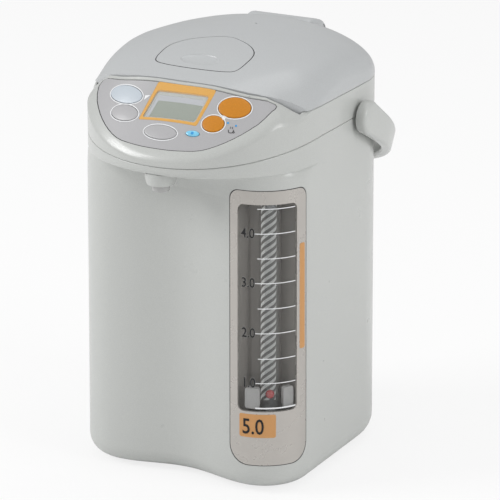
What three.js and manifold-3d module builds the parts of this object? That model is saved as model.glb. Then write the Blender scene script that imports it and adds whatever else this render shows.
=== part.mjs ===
import * as THREE from "three";
import { mergeVertices } from "three/addons/utils/BufferGeometryUtils.js";
import Module from "manifold-3d";

// An electric thermo pot, in millimetres. +Z is up and the spout looks along -Y.
// The origin is on the table, on the axis of the swivel base.

const wasm = await Module();
wasm.setup();

const QUARTER = Math.PI / 2;
const DEGREE = Math.PI / 180;
const MERGE = 1e-4;
const GAP = 0.3; // between neighbouring pieces
const FIT = 0.4; // round a piece that moves in its opening
const FAR = 400; // longer than the pot, for the blocks that cut
const OVER = 1; // how far a cut runs past the face it opens

const POT = { seam: 281.8, wall: 2.4, depth: 104, halfWidth: 98, draft: 2.2 };
const FRONT = { corner: 41, sag: 9.6 };
const REAR = { corner: 71 };
const BEAK = {
  narrower: 2, behindFront: 61, reach: 98, power: 2.1, dip: 12.8, dipBehind: 64, dipPower: 1.5,
  get halfWidth() { return POT.halfWidth - this.narrower; },
  get startY() { return this.behindFront - POT.depth; },
  get dipY() { return this.dipBehind - POT.depth; },
};
const POINTS = { front: 4, corner: 5, side: 2, rearCorner: 5, rear: 1 };

// Inset and height of the rings of the rounded foot, then of the walls.
const FOOT_RINGS = [[12.5, 3], [6.6, 5.2], [1.8, 10.4], [0, 17.5]];
const SEAM_CLEAR = 0.4;
const FLARE_DOWN = 41.8;
const FLARE_START = POT.seam - FLARE_DOWN;
// Share of the way from the casing's outline to the beak's, and the depth below the seam there.
const FLARE_RINGS = [
  [0.03, 31.8], [0.1, 25.8], [0.25, 22.3], [0.5, 20.8], [0.92, 20], [0.985, 18.3], [1, 15.8],
].map(([share, down]) => [share, POT.seam - down]);

const COLLAR = {
  rise: 24.1, wall: 2.2, rimRise: 2.2, rimAhead: 30, rimSlope: 0.56, steepAhead: 31, flatAhead: 17,
  get top() { return POT.seam + this.rise; },
  get rimLow() { return POT.seam + this.rimRise; },
  get rimLowY() { return -POT.depth - this.rimAhead; },
  get steepY() { return BEAK.startY - this.steepAhead; },
  get flatY() { return BEAK.startY - this.flatAhead; },
};
// Inset and rise over the rim on the deck, and the same rings where the shoulder is flat.
const DECK_RINGS = [
  { inset: 0, rise: -8, flatInset: 0, below: 0.9 },
  { inset: 0.8, rise: -5, flatInset: 0.3, below: 0.6 },
  { inset: 2.5, rise: -2.5, flatInset: 0.6, below: 0.3 },
  { inset: 5, rise: 0, flatInset: 1.2, below: 0 },
  { inset: 20, rise: 15, flatInset: 20, below: 0 },
  { inset: 38, rise: 33, flatInset: 38, below: 0 },
  { inset: 60, rise: 55, flatInset: 60, below: 0 },
];
const DECK_WALL = 4.2; // measured straight down, the deck lies at 45 degrees
const DECK_INSET = 5;

const LID = {
  crownRise: 36.7, topY: 25, fall: 18.2, fallPower: 2.84, rearFall: 50.6, rearPower: 2.37,
  frontIn: 12, cornerIn: 20, cornerBack: 12.9, frontPower: 5, cornerSlope: 0.65, wall: 2.4, skirtOut: 3.4, skirtIn: 5.8,
  skirtDeep: 5.8, skirtBack: 24, taper: 0.13, creaseRise: 20.7,
  get seam() { return COLLAR.top + SEAM_CLEAR; },
  get top() { return this.seam + this.crownRise; },
  get frontY() { return this.frontIn - POT.depth; },
  get endY() { return POT.depth - SEAM_CLEAR; },
  get cornerX() { return BEAK.halfWidth - this.cornerIn; },
  get skirtLow() { return this.seam - this.skirtDeep; },
  get skirtBackY() { return POT.depth - this.skirtBack; },
  get crease() { return this.seam + this.creaseRise; },
};
// The lid's cross-section at its front edge, further back and at its rear end.
const DOME = { powers: [3.7, 2.16, 1.8], rounds: [0.78, 4.16, 1], blend: 55 };
const LEDGE = {
  lowDown: 8.9, topDown: 6.5, rim: 3, wall: 2.4,
  get low() { return COLLAR.top - this.lowDown; },
  get top() { return COLLAR.top - this.topDown; },
};
const BIN = {
  sideRoom: 9.5, endRoom: 15.5, wall: 1, floor: 51.7, foot: 4, shoulderDown: 19.8, topDown: 12.5, bend: 4, bendDrop: 1.5,
  brim: 9, step: 0.8, neckIn: 15.5, gasketIn: 9.5,
  get radius() { return Math.min(POT.halfWidth - this.sideRoom, POT.depth - this.endRoom); },
  get shoulder() { return POT.seam - this.shoulderDown; },
  get top() { return POT.seam - this.topDown; },
  get neck() { return this.radius - this.neckIn; },
  get gasketOut() { return this.radius - this.gasketIn; },
};
const MOUTH = {
  y: 4.5, narrower: 12.5, wall: 2.4, lowDown: 10.8,
  get radius() { return BIN.radius - this.narrower; },
  get low() { return POT.seam - this.lowDown; },
};

// Makes a closed solid from a geometry, facing outwards.
function solidOf(geometry) {
  const bare = new THREE.BufferGeometry().setAttribute("position", geometry.getAttribute("position"));
  if (geometry.index) bare.setIndex(geometry.index);
  const merged = mergeVertices(bare, MERGE);
  const index = merged.index.array;
  const whole = [];
  for (let i = 0; i < index.length; i += 3) {
    const [a, b, c] = [index[i], index[i + 1], index[i + 2]];
    if (a !== b && b !== c && c !== a) whole.push(a, b, c);
  }
  const build = (tris) =>
    new wasm.Manifold(new wasm.Mesh({
      numProp: 3,
      vertProperties: new Float32Array(merged.attributes.position.array),
      triVerts: new Uint32Array(tris),
    }));
  const made = build(whole);
  return made.volume() < 0 ? build(whole.reverse()) : made;
}

const join = (...solids) => solids.reduce((a, b) => a.add(b));
const cut = (solid, ...tools) => tools.reduce((a, b) => a.subtract(b), solid);
const common = (...solids) => solids.reduce((a, b) => a.intersect(b));

function block(x0, x1, y0, y1, z0, z1) {
  const box = new THREE.BoxGeometry(x1 - x0, y1 - y0, z1 - z0);
  return solidOf(box.translate((x0 + x1) / 2, (y0 + y1) / 2, (z0 + z1) / 2));
}

// A round bar between two points.
function rod(radius, from, to, sides = 24) {
  const [a, b] = [new THREE.Vector3(...from), new THREE.Vector3(...to)];
  const bar = new THREE.CylinderGeometry(radius, radius, a.distanceTo(b), sides);
  const turn = new THREE.Quaternion().setFromUnitVectors(
    new THREE.Vector3(0, 1, 0), b.clone().sub(a).normalize());
  const centre = a.add(b).multiplyScalar(1 / 2);
  return solidOf(bar.applyQuaternion(turn).translate(...centre));
}

const upright = (radius, x, y, z0, z1, sides) => rod(radius, [x, y, z0], [x, y, z1], sides);

// A turned solid about the vertical through (x, y), from a closed profile of radius and height.
function turned(profile, x, y, sides) {
  const points = [...profile, profile[0]].map(([r, z]) => new THREE.Vector2(r, z));
  return solidOf(new THREE.LatheGeometry(points, sides).rotateX(QUARTER).translate(x, y, 0));
}

const tubeProfile = (inner, outer, z0, z1) => [[inner, z0], [outer, z0], [outer, z1], [inner, z1]];

// A flat outline raised from z0 to z1.
function prism(points, z0, z1) {
  const shape = new THREE.Shape(points.map(([x, y]) => new THREE.Vector2(x, y)));
  const body = new THREE.ExtrudeGeometry(shape, { depth: z1 - z0, bevelEnabled: false, steps: 1 });
  return solidOf(body.translate(0, 0, z0));
}

// A side profile of y and z, run from x0 to x1.
function sideways(points, x0, x1) {
  const shape = new THREE.Shape(points.map(([y, z]) => new THREE.Vector2(y, z)));
  const body = new THREE.ExtrudeGeometry(shape, { depth: x1 - x0, bevelEnabled: false, steps: 1 });
  const turn = new THREE.Matrix4().makeBasis(
    new THREE.Vector3(0, 1, 0), new THREE.Vector3(0, 0, 1), new THREE.Vector3(1, 0, 0));
  return solidOf(body.applyMatrix4(turn).translate(x0, 0, 0));
}

// A solid through closed rings of the same number of points, capped from its end rings' centres.
function loft(rings) {
  const count = rings[0].length;
  const position = rings.flat(2);
  const index = [];
  for (let i = 0; i + 1 < rings.length; i++)
    for (let j = 0; j < count; j++) {
      const [a, b] = [i * count + j, i * count + ((j + 1) % count)];
      index.push(a, b, b + count, a, b + count, a + count);
    }
  const cap = (ring, first, flip) => {
    const centre = position.length / 3;
    for (const axis of [0, 1, 2]) position.push(ring.reduce((sum, p) => sum + p[axis], 0) / count);
    for (let j = 0; j < count; j++) {
      const [a, b] = [first + j, first + ((j + 1) % count)];
      index.push(centre, flip ? b : a, flip ? a : b);
    }
  };
  cap(rings[0], 0, true);
  cap(rings[rings.length - 1], (rings.length - 1) * count, false);
  const made = new THREE.BufferGeometry();
  made.setAttribute("position", new THREE.BufferAttribute(new Float32Array(position), 3));
  return solidOf(made.setIndex(index));
}

// A round hose along a smooth curve, hollow and open at both ends.
function hose(points, outer, inner, steps = 12, sides = 10) {
  const curve = new THREE.CatmullRomCurve3(points.map((p) => new THREE.Vector3(...p)));
  const frames = curve.computeFrenetFrames(steps, false);
  const ringAt = (i, radius) => {
    const centre = curve.getPointAt(i / steps);
    return Array.from({ length: sides }, (_, j) => {
      const angle = (j / sides) * 4 * QUARTER;
      const out = centre.clone()
        .addScaledVector(frames.normals[i], radius * Math.cos(angle))
        .addScaledVector(frames.binormals[i], radius * Math.sin(angle));
      return [out.x, out.y, out.z];
    });
  };
  const along = Array.from({ length: steps + 1 }, (_, i) => i);
  const position = [...along.map((i) => ringAt(i, outer)), ...along.map((i) => ringAt(i, inner)).reverse()];
  const index = [];
  for (let i = 0; i < position.length; i++)
    for (let j = 0; j < sides; j++) {
      const next = (i + 1) % position.length;
      const [a, b] = [i * sides + j, i * sides + ((j + 1) % sides)];
      const [c, d] = [next * sides + j, next * sides + ((j + 1) % sides)];
      index.push(a, b, d, a, d, c);
    }
  const made = new THREE.BufferGeometry();
  made.setAttribute("position", new THREE.BufferAttribute(new Float32Array(position.flat(2)), 3));
  return solidOf(made.setIndex(index));
}

// Outlines. Each half runs from the front centre to the rear centre with the same number of points.

const REAR_CENTRE_Y = POT.depth - REAR.corner;

function rearHalf(inset, halfWidth, fromY) {
  const cornerX = halfWidth - REAR.corner;
  const radius = REAR.corner - inset;
  const points = [];
  for (let i = 0; i < POINTS.side; i++)
    points.push([halfWidth - inset, fromY + ((REAR_CENTRE_Y - fromY) * i) / POINTS.side]);
  for (let i = 0; i < POINTS.rearCorner; i++) {
    const angle = (QUARTER * i) / POINTS.rearCorner;
    points.push([cornerX + radius * Math.cos(angle), REAR_CENTRE_Y + radius * Math.sin(angle)]);
  }
  for (let i = 0; i <= POINTS.rear; i++)
    points.push([cornerX * (1 - i / POINTS.rear), POT.depth - inset]);
  return points;
}

function casingHalf(inset, z) {
  const halfWidth = POT.halfWidth - (POT.draft * z) / POT.seam;
  const cornerX = halfWidth - FRONT.corner;
  const cornerY = FRONT.corner - POT.depth;
  const radius = FRONT.corner - inset;
  const points = [];
  for (let i = 0; i < POINTS.front; i++) {
    const share = i / POINTS.front;
    const hollow = (FRONT.sag * (1 + Math.cos(Math.PI * share))) / 2;
    points.push([cornerX * share, inset + hollow - POT.depth]);
  }
  for (let i = 0; i < POINTS.corner; i++) {
    const angle = (QUARTER * i) / POINTS.corner;
    points.push([cornerX + radius * Math.sin(angle), cornerY - radius * Math.cos(angle)]);
  }
  return [...points, ...rearHalf(inset, halfWidth, cornerY)];
}

function beakHalf(inset) {
  const count = POINTS.front + POINTS.corner;
  const points = [];
  for (let i = 0; i < count; i++) {
    const angle = (QUARTER * i) / count;
    const across = Math.sin(angle) ** (2 / BEAK.power);
    const ahead = Math.cos(angle) ** (2 / BEAK.power);
    points.push([(BEAK.halfWidth - inset) * across, BEAK.startY - (BEAK.reach - inset) * ahead]);
  }
  return [...points, ...rearHalf(inset, BEAK.halfWidth, BEAK.startY)];
}

const mixHalves = (a, b, share) =>
  a.map(([x, y], i) => [x + (b[i][0] - x) * share, y + (b[i][1] - y) * share]);

// The closed ring of a half outline. height is a number, or a function of y.
function ringOf(half, height) {
  const zOf = typeof height === "function" ? height : () => height;
  const right = half.map(([x, y], i) => [x, y, zOf(y, i)]);
  const left = right.slice(1, -1).reverse().map(([x, y, z]) => [-x, y, z]);
  return [...right, ...left];
}

const outlineOf = (half) => ringOf(half, 0).map(([x, y]) => [x, y]);

const seamZ = (y) =>
  y > BEAK.dipY
    ? POT.seam
    : POT.seam - BEAK.dip * ((BEAK.dipY - y) / (BEAK.reach - BEAK.startY + BEAK.dipY)) ** BEAK.dipPower;

// Casing

function casingBlock() {
  const foot = FOOT_RINGS.map(([inset, z]) => ringOf(casingHalf(inset, z), z));
  const flare = FLARE_RINGS.map(([share, z]) => ringOf(mixHalves(casingHalf(0, z), beakHalf(0), share), z));
  const wall = ringOf(casingHalf(0, FLARE_START), FLARE_START);
  return loft([...foot, wall, ...flare, ringOf(beakHalf(0), seamZ)]);
}

function casingHollow() {
  const w = POT.wall;
  const [lipInset, lipZ] = FOOT_RINGS[0];
  const foot = [
    ringOf(casingHalf(lipInset + w, 0), -OVER),
    ...FOOT_RINGS.map(([inset, z]) => ringOf(casingHalf(inset + w, z), z + w * Math.min(1, inset / lipZ))),
  ];
  const wall = ringOf(casingHalf(w, FLARE_START), FLARE_START);
  const flare = FLARE_RINGS.map(([share, z]) =>
    ringOf(mixHalves(casingHalf(w, z), beakHalf(w), share), z + w * Math.min(1, share * 2)));
  return loft([...foot, wall, ...flare, ringOf(beakHalf(w), (y) => seamZ(y) + OVER)]);
}

const LAYER_OVER = 20;

// The casing's wall between two insets, for the pieces let into it.
function wallLayer(outer, inner) {
  const [low, high] = [FOOT_RINGS[3][1], FLARE_START + LAYER_OVER];
  const layer = (inset, extra) =>
    loft([low - extra, high + extra].map((z) => ringOf(casingHalf(inset, z), z)));
  return cut(layer(outer, 0), layer(inner, OVER));
}

// Gauge, let into the front right corner. Positions along it run round the corner from its centre.

const GAUGE = {
  reachOut: 12, reachIn: 22, from: -8.5, to: 58, low: 24, highDown: 32.8, lowRound: 16, highRound: 8,
  windowFrom: -1.5, windowTo: 47.6, windowLow: 69, windowDown: 43.8, windowRound: 5, windowSet: 0.6,
  tubeAngle: 37 * DEGREE, tubeAt: 30.4, tubeRadius: 7, tubeBore: 4.5, tubeLow: 62,
  trayLow: 48, trayDown: 35.8, trayFrom: -4.2, trayTo: 50.3, trayWall: 1.6, trayDepth: 21.6,
  get centreX() { return POT.halfWidth - POT.draft / 2 - FRONT.corner; },
  get centreY() { return FRONT.corner - POT.depth; },
  get high() { return POT.seam - this.highDown; },
  get windowHigh() { return POT.seam - this.windowDown; },
  get tubeHigh() { return this.windowHigh; },
  get trayHigh() { return POT.seam - this.trayDown; },
};
const TUBE_X = GAUGE.centreX + GAUGE.tubeAt * Math.sin(GAUGE.tubeAngle);
const TUBE_Y = GAUGE.centreY - GAUGE.tubeAt * Math.cos(GAUGE.tubeAngle);
const REGION_STEPS = 12;

// A rounded rectangle wrapped round the corner, made thick enough to cut through the wall.
function cornerRegion({ from, to, low, high, lowRound, highRound }) {
  const ringAt = (share) => {
    const s = from + (to - from) * share;
    const end = Math.min(s - from, to - s);
    const rise = (round) => round - Math.sqrt(Math.max(0, round ** 2 - Math.max(0, round - end) ** 2));
    const [z0, z1] = [low + rise(lowRound), high - rise(highRound)];
    const place = (radius) => {
      if (s < 0) return [GAUGE.centreX + s, GAUGE.centreY - radius];
      const angle = s / FRONT.corner;
      return [GAUGE.centreX + radius * Math.sin(angle), GAUGE.centreY - radius * Math.cos(angle)];
    };
    const [inner, outer] = [place(FRONT.corner - GAUGE.reachIn), place(FRONT.corner + GAUGE.reachOut)];
    return [[...inner, z0], [...outer, z0], [...outer, z1], [...inner, z1]];
  };
  const shares = Array.from({ length: REGION_STEPS + 1 }, (_, i) => (1 - Math.cos((Math.PI * i) / REGION_STEPS)) / 2);
  return loft(shares.map(ringAt));
}

const panelRegion = (grow) => cornerRegion({
  from: GAUGE.from - grow, to: GAUGE.to + grow, low: GAUGE.low - grow, high: GAUGE.high + grow,
  lowRound: GAUGE.lowRound, highRound: GAUGE.highRound,
});
const windowRegion = (grow) => cornerRegion({
  from: GAUGE.windowFrom - grow, to: GAUGE.windowTo + grow,
  low: GAUGE.windowLow - grow, high: GAUGE.windowHigh + grow,
  lowRound: GAUGE.windowRound, highRound: GAUGE.windowRound,
});
const trayRegion = (grow) => cornerRegion({
  from: GAUGE.trayFrom - grow, to: GAUGE.trayTo + grow, low: GAUGE.trayLow - grow, high: GAUGE.trayHigh + grow,
  lowRound: GAUGE.windowRound, highRound: GAUGE.windowRound,
});

const gaugePanel = () =>
  cut(common(wallLayer(0, POT.wall), panelRegion(0)), windowRegion(0));
const gaugeWindow = () =>
  common(wallLayer(GAUGE.windowSet, POT.wall), windowRegion(-GAP));

const FITTING = {
  stem: 4.2, bore: 2.2, discDown: 5, lowDown: 22, spigotUp: 6, discUp: 4, highUp: 24, gripDown: 6,
  get discLow() { return GAUGE.tubeLow - this.discDown; },
  get low() { return GAUGE.tubeLow - this.lowDown; },
  get spigot() { return GAUGE.tubeLow + this.spigotUp; },
  get discHigh() { return GAUGE.tubeHigh + this.discUp; },
  get high() { return GAUGE.tubeHigh + this.highUp; },
  get grip() { return GAUGE.tubeHigh - this.gripDown; },
};

function gaugeTray() {
  const shell = common(wallLayer(POT.wall + GAP, GAUGE.trayDepth), trayRegion(0));
  const hollow = common(wallLayer(POT.wall, GAUGE.trayDepth - GAUGE.trayWall), trayRegion(-GAUGE.trayWall));
  return cut(shell, hollow, upright(FITTING.stem + GAP, TUBE_X, TUBE_Y, FITTING.low, FITTING.high));
}

const BACK = { radius: 21.3, thick: 1.1, halfWidth: 6, up: 10, down: 2 };

function gaugeBackplate() {
  const [low, high] = [GAUGE.tubeLow + BACK.up, GAUGE.tubeHigh - BACK.down];
  const plate = block(-BACK.halfWidth, BACK.halfWidth, -BACK.radius - BACK.thick, -BACK.radius, low, high);
  return plate.rotate([0, 0, GAUGE.tubeAngle / DEGREE]).translate([GAUGE.centreX, GAUGE.centreY, 0]);
}

const gaugeTube = () =>
  turned(tubeProfile(GAUGE.tubeBore, GAUGE.tubeRadius, GAUGE.tubeLow, GAUGE.tubeHigh), TUBE_X, TUBE_Y, 20);

const fittingLow = () =>
  turned([
    [FITTING.bore, FITTING.low], [FITTING.stem, FITTING.low], [FITTING.stem, FITTING.discLow],
    [GAUGE.tubeRadius, FITTING.discLow], [GAUGE.tubeRadius, GAUGE.tubeLow - GAP],
    [FITTING.stem, GAUGE.tubeLow - GAP], [FITTING.stem, FITTING.spigot], [FITTING.bore, FITTING.spigot],
  ], TUBE_X, TUBE_Y, 16);

const fittingHigh = () =>
  turned([
    [FITTING.bore, FITTING.grip], [FITTING.stem, FITTING.grip], [FITTING.stem, GAUGE.tubeHigh + GAP],
    [GAUGE.tubeRadius, GAUGE.tubeHigh + GAP], [GAUGE.tubeRadius, FITTING.discHigh],
    [FITTING.stem, FITTING.discHigh], [FITTING.stem, FITTING.high], [FITTING.bore, FITTING.high],
  ], TUBE_X, TUBE_Y, 16);

const BRACKET = { low: 70.5, high: 87.5, outer: 2.9, inner: 7, round: 2, left: [3.6, 16.5], right: [36.9, 46.5] };

function gaugeBracket([from, to]) {
  const region = cornerRegion({
    from, to, low: BRACKET.low, high: BRACKET.high, lowRound: BRACKET.round, highRound: BRACKET.round,
  });
  return common(wallLayer(BRACKET.outer, BRACKET.inner), region);
}

const BALL = { radius: 3.6, z: 80 };

const floatBall = () =>
  solidOf(new THREE.SphereGeometry(BALL.radius, 12, 8).rotateX(QUARTER).translate(TUBE_X, TUBE_Y, BALL.z));

// Bail pivots

const BAIL = {
  out: 5, y: 22, down: 0.8, thick: 9, tall: 26.5, gripTall: 20, taper: 60, bevel: 2.5, flat: 11, past: 15,
  rest: 31 * DEGREE, pin: 5, pinHead: 8, headRoom: 13.4, headBack: 10, pinPast: 1, holePast: 1.5,
  get x() { return POT.halfWidth + this.out; },
  get z() { return POT.seam - this.down; },
  get reach() { return POT.depth + this.past; },
  get corner() { return this.x - this.flat; },
  get headIn() { return this.x - this.headRoom; },
  get headOut() { return this.x - this.headBack; },
  get pinOut() { return this.x + this.pinPast; },
  get holeEnd() { return this.x + this.holePast; },
};
const pivotHole = (radius) => rod(radius, [-FAR, BAIL.y, BAIL.z], [FAR, BAIL.y, BAIL.z], 20);

const BOSS = { angle: QUARTER / 2, reach: 20, ribReach: 39.5, radius: 4.2, ribThick: 4, low: 6.4, high: 22, bore: 1.9 };
const PLATE = { inset: 15.3, low: 3.3, high: 6, bossHigh: 8.7, bossRadius: 3 };
const SCREW = { head: 3.6, headLow: 1.9, headHigh: 3, shank: 1.6, top: 16 };

// The four screw places under the casing.
const bossPlaces = [[-1, -1], [1, -1], [-1, 1], [1, 1]].map(([sx, sy]) => {
  const corner = sy < 0 ? FRONT.corner : REAR.corner;
  const reach = sy < 0 ? BOSS.reach : BOSS.reach + REAR.corner - FRONT.corner;
  const out = [sx * Math.sin(BOSS.angle), sy * Math.cos(BOSS.angle)];
  const centre = [sx * (POT.halfWidth - corner), sy * (POT.depth - corner)];
  const place = (distance) => [centre[0] + out[0] * distance, centre[1] + out[1] * distance];
  return { at: place(reach), wallAt: place(reach + BOSS.ribReach - BOSS.reach) };
});

function casingBosses() {
  const ribs = bossPlaces.map(({ at, wallAt }) => {
    const length = Math.hypot(wallAt[0] - at[0], wallAt[1] - at[1]);
    const angle = Math.atan2(wallAt[1] - at[1], wallAt[0] - at[0]) / DEGREE;
    const rib = block(0, length, -BOSS.ribThick / 2, BOSS.ribThick / 2, BOSS.low, BOSS.high);
    return rib.rotate([0, 0, angle]).translate([...at, 0]);
  });
  const posts = bossPlaces.map(({ at }) => upright(BOSS.radius, ...at, BOSS.low, BOSS.high, 16));
  return common(join(...ribs, ...posts), casingBlock());
}

const SOCKET = {
  halfWidth: 17, low: 25, high: 47, wall: 3, pinX: 6, pin: 2, frontIn: 22, rearIn: 0.8, floorIn: 17, tipIn: 7,
  get frontY() { return POT.depth - this.frontIn; },
  get rearY() { return POT.depth - this.rearIn; },
  get floorY() { return POT.depth - this.floorIn; },
  get pinTip() { return POT.depth - this.tipIn; },
};
const SPOUT = {
  ahead: 22, stem: 8, hole: 8.4, cupTop: 13, cupLow: 11.2, down: 29.8, cupDown: 6, nozzle: 6.9, nozzleDown: 35.2, bore: 4,
  get y() { return -POT.depth - this.ahead; },
  get low() { return POT.seam - this.down; },
  get nozzleLow() { return POT.seam - this.nozzleDown; },
};

function bodyShell() {
  const bossHoles = bossPlaces.map(({ at }) => upright(BOSS.bore, ...at, 0, BOSS.high - OVER, 12));
  const socketHole = block(
    -SOCKET.halfWidth - GAP, SOCKET.halfWidth + GAP, SOCKET.floorY, FAR, SOCKET.low - GAP, SOCKET.high + GAP);
  return cut(
    join(cut(casingBlock(), casingHollow()), casingBosses()),
    ...bossHoles,
    socketHole,
    panelRegion(GAP),
    upright(SPOUT.hole, 0, SPOUT.y, FLARE_START, POT.seam, 24),
    pivotHole(BAIL.pin + GAP),
  );
}

// Shoulder ring with the sloped deck

const rimZ = (y) => Math.min(COLLAR.top, COLLAR.rimLow + COLLAR.rimSlope * (y - COLLAR.rimLowY));
const steepness = (y) => Math.min(1, Math.max(0, (COLLAR.flatY - y) / (COLLAR.flatY - COLLAR.steepY)));

function deckRing({ inset, rise, flatInset, below }, drop) {
  const [steep, flat, edge] = [beakHalf(inset), beakHalf(flatInset), beakHalf(0)];
  const half = steep.map(([x, y], i) => {
    const share = steepness(edge[i][1]);
    return [flat[i][0] + (x - flat[i][0]) * share, flat[i][1] + (y - flat[i][1]) * share];
  });
  const zAt = (_, i) => {
    const y = edge[i][1];
    const share = steepness(y);
    return (COLLAR.top - below) * (1 - share) + (rimZ(y) + rise) * share - drop;
  };
  return ringOf(half, zAt);
}

// The solid under the deck, its top lowered by drop.
const deckBlock = (drop, low = SEAM_CLEAR) =>
  loft([ringOf(beakHalf(0), (y) => seamZ(y) + low), ...DECK_RINGS.map((ring) => deckRing(ring, drop))]);

function deckHollow() {
  const w = COLLAR.wall;
  const rings = [
    { inset: w, rise: -9, flatInset: w, below: DECK_WALL },
    { inset: DECK_INSET + w / 4, rise: w / 4, flatInset: DECK_INSET, below: w },
    { inset: 20, rise: 15, flatInset: 20, below: w },
    { inset: 38, rise: 33, flatInset: 38, below: w },
    { inset: 60, rise: 55, flatInset: 60, below: w },
  ];
  const lofted = rings.map((ring, i) =>
    deckRing({ ...ring, rise: i ? ring.rise - DECK_WALL : ring.rise }, 0));
  return loft([ringOf(beakHalf(w), (y) => seamZ(y) - OVER), ...lofted]);
}

const lidFrontY = (x) => {
  const out = Math.abs(x);
  const bend = LID.cornerBack * Math.min(1, out / LID.cornerX) ** LID.frontPower;
  return LID.frontY + bend + LID.cornerSlope * Math.max(0, out - LID.cornerX);
};

// The lid's front edge from left to right, moved by ahead and carried on past the sides.
function lidFront(ahead) {
  const steps = 8;
  const front = [];
  for (let i = -steps; i <= steps; i++) {
    const x = (LID.cornerX * i) / steps;
    front.push([x, lidFrontY(x) - ahead]);
  }
  const y = lidFrontY(BEAK.halfWidth) - ahead;
  return [[-FAR / 2, y], [-BEAK.halfWidth, y], ...front, [BEAK.halfWidth, y], [FAR / 2, y]];
}

// Everything behind the lid's front edge, moved forward by ahead.
const lidField = (ahead, z0, z1) =>
  prism([...lidFront(ahead), [FAR / 2, FAR], [-FAR / 2, FAR]], z0, z1);

const insetPrism = (inset, z0, z1) => prism(outlineOf(beakHalf(inset)), z0, z1);

// Controls on the deck. Places are shares of the beak's half width and, ahead of its start, of its reach.
// Semi-axes lie on the deck.
const KEYS = {
  key_boil: { spotShares: [-0.4573, 0.6], across: 15.6, along: 7.5, colour: "pale" },
  key_timer: { spotShares: [-0.4042, 0.7194], across: 12.6, along: 6.7, colour: "panel" },
  key_keep_warm: { spotShares: [-0.0146, 0.8276], across: 13.8, along: 6, colour: "panel" },
  key_unlock: { spotShares: [0.3969, 0.7082], across: 8.6, along: 6.9, colour: "orange" },
  key_dispense: { spotShares: [0.5167, 0.5755], across: 12.6, along: 8.6, colour: "orange" },
};
const KEY = { proud: 0.5, depth: 6, sides: 20 };
const LAMP = { spotShares: [0.2615, 0.798], across: 5.4, along: 2.4, proud: 0.3, depth: 7.4, sides: 12 };
const PANEL = {
  set: 0.3, thick: 1.7,
  upperShares: [
    [0.75, 0.4204], [0.6771, 0.4592], [0.5573, 0.4949], [0.4323, 0.5112], [0.2969, 0.5163],
    [0.1042, 0.5173],
  ],
  lowerShares: [
    [0.0938, 0.9296], [0.2292, 0.9153], [0.3594, 0.8898], [0.4635, 0.8408], [0.5729, 0.7643],
    [0.6667, 0.6755], [0.7552, 0.5653], [0.8021, 0.4388], [0.7948, 0.3878],
  ],
};
const DISPLAY = {
  frameShares: [
    [-0.2031, 0.5173], [0.3208, 0.5168], [0.2667, 0.7469], [-0.2521, 0.7582],
  ],
  windowShares: [
    [-0.1833, 0.5663], [0.2812, 0.5571], [0.2437, 0.7306], [-0.2292, 0.7429],
  ],
  lip: 1.6, moduleTop: 5.4, moduleLow: 11.4,
};
const BOARD = {
  top: 12, low: 14, post: 2.2,
  postShares: [
    [-0.6875, 0.551], [0.6979, 0.5408], [-0.25, 0.8061], [0.1667, 0.801],
  ],
  outlineShares: [
    [-0.7396, 0.5], [-0.7188, 0.5816], [-0.5625, 0.6939], [-0.3958, 0.7959], [0, 0.852],
    [0.3958, 0.7959], [0.5625, 0.6939], [0.7188, 0.5816], [0.7396, 0.5], [0.4167, 0.551],
    [0, 0.5714], [-0.4167, 0.551],
  ],
};

const deckPlace = ([acrossShare, aheadShare]) =>
  [BEAK.halfWidth * acrossShare, BEAK.startY - BEAK.reach * aheadShare];
const [displayOutline, windowOutline, boardOutline] =
  [DISPLAY.frameShares, DISPLAY.windowShares, BOARD.outlineShares].map((shares) => shares.map(deckPlace));

const CENTRE_SHARE = 0.7; // how far in from the beak's edge the deck is looked for

// Height of the deck over a point in front of the lid.
function deckZ(x, y) {
  const [across, ahead] = [Math.abs(x), BEAK.startY - y];
  let [low, high] = [0, BEAK.reach * CENTRE_SHARE];
  for (let i = 0; i < 40; i++) {
    const inset = (low + high) / 2;
    const out = (across / (BEAK.halfWidth - inset)) ** BEAK.power + (ahead / (BEAK.reach - inset)) ** BEAK.power;
    if (out < 1) low = inset;
    else high = inset;
  }
  const edgeY = BEAK.startY - (BEAK.reach * ahead) / (BEAK.reach - low);
  return rimZ(edgeY) + low - DECK_INSET;
}

function deckFrame(x, y) {
  const step = 1e-2;
  const slopeX = (deckZ(x + step, y) - deckZ(x - step, y)) / (2 * step);
  const slopeY = (deckZ(x, y + step) - deckZ(x, y - step)) / (2 * step);
  const normal = new THREE.Vector3(-slopeX, -slopeY, 1).normalize();
  const up = new THREE.Vector3(-slopeX, -slopeY, 0).normalize().negate();
  const across = new THREE.Vector3().crossVectors(up, normal).normalize();
  const along = new THREE.Vector3().crossVectors(normal, across);
  return { at: new THREE.Vector3(x, y, deckZ(x, y)), normal, across, along };
}

// An elliptical bar square to the deck.
function deckEllipse({ spotShares, across, along }, grow, depth, proud, sides = KEY.sides) {
  const f = deckFrame(...deckPlace(spotShares));
  const bar = new THREE.CylinderGeometry(1, 1, depth + proud, sides);
  bar.rotateX(QUARTER).scale(across + grow, along + grow, 1).translate(0, 0, (proud - depth) / 2);
  const turn = new THREE.Matrix4().makeBasis(f.across, f.along, f.normal).setPosition(f.at);
  return solidOf(bar.applyMatrix4(turn));
}

function panelOutline(grow) {
  const mirrored = (points) => points.map(([x, y]) => [-x, y]).reverse();
  const [lower, upper] = [PANEL.lowerShares, PANEL.upperShares].map((shares) => shares.map(deckPlace));
  const ring = [...mirrored(lower), ...lower, ...upper, ...mirrored(upper)];
  return offset(ring, grow);
}

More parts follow.
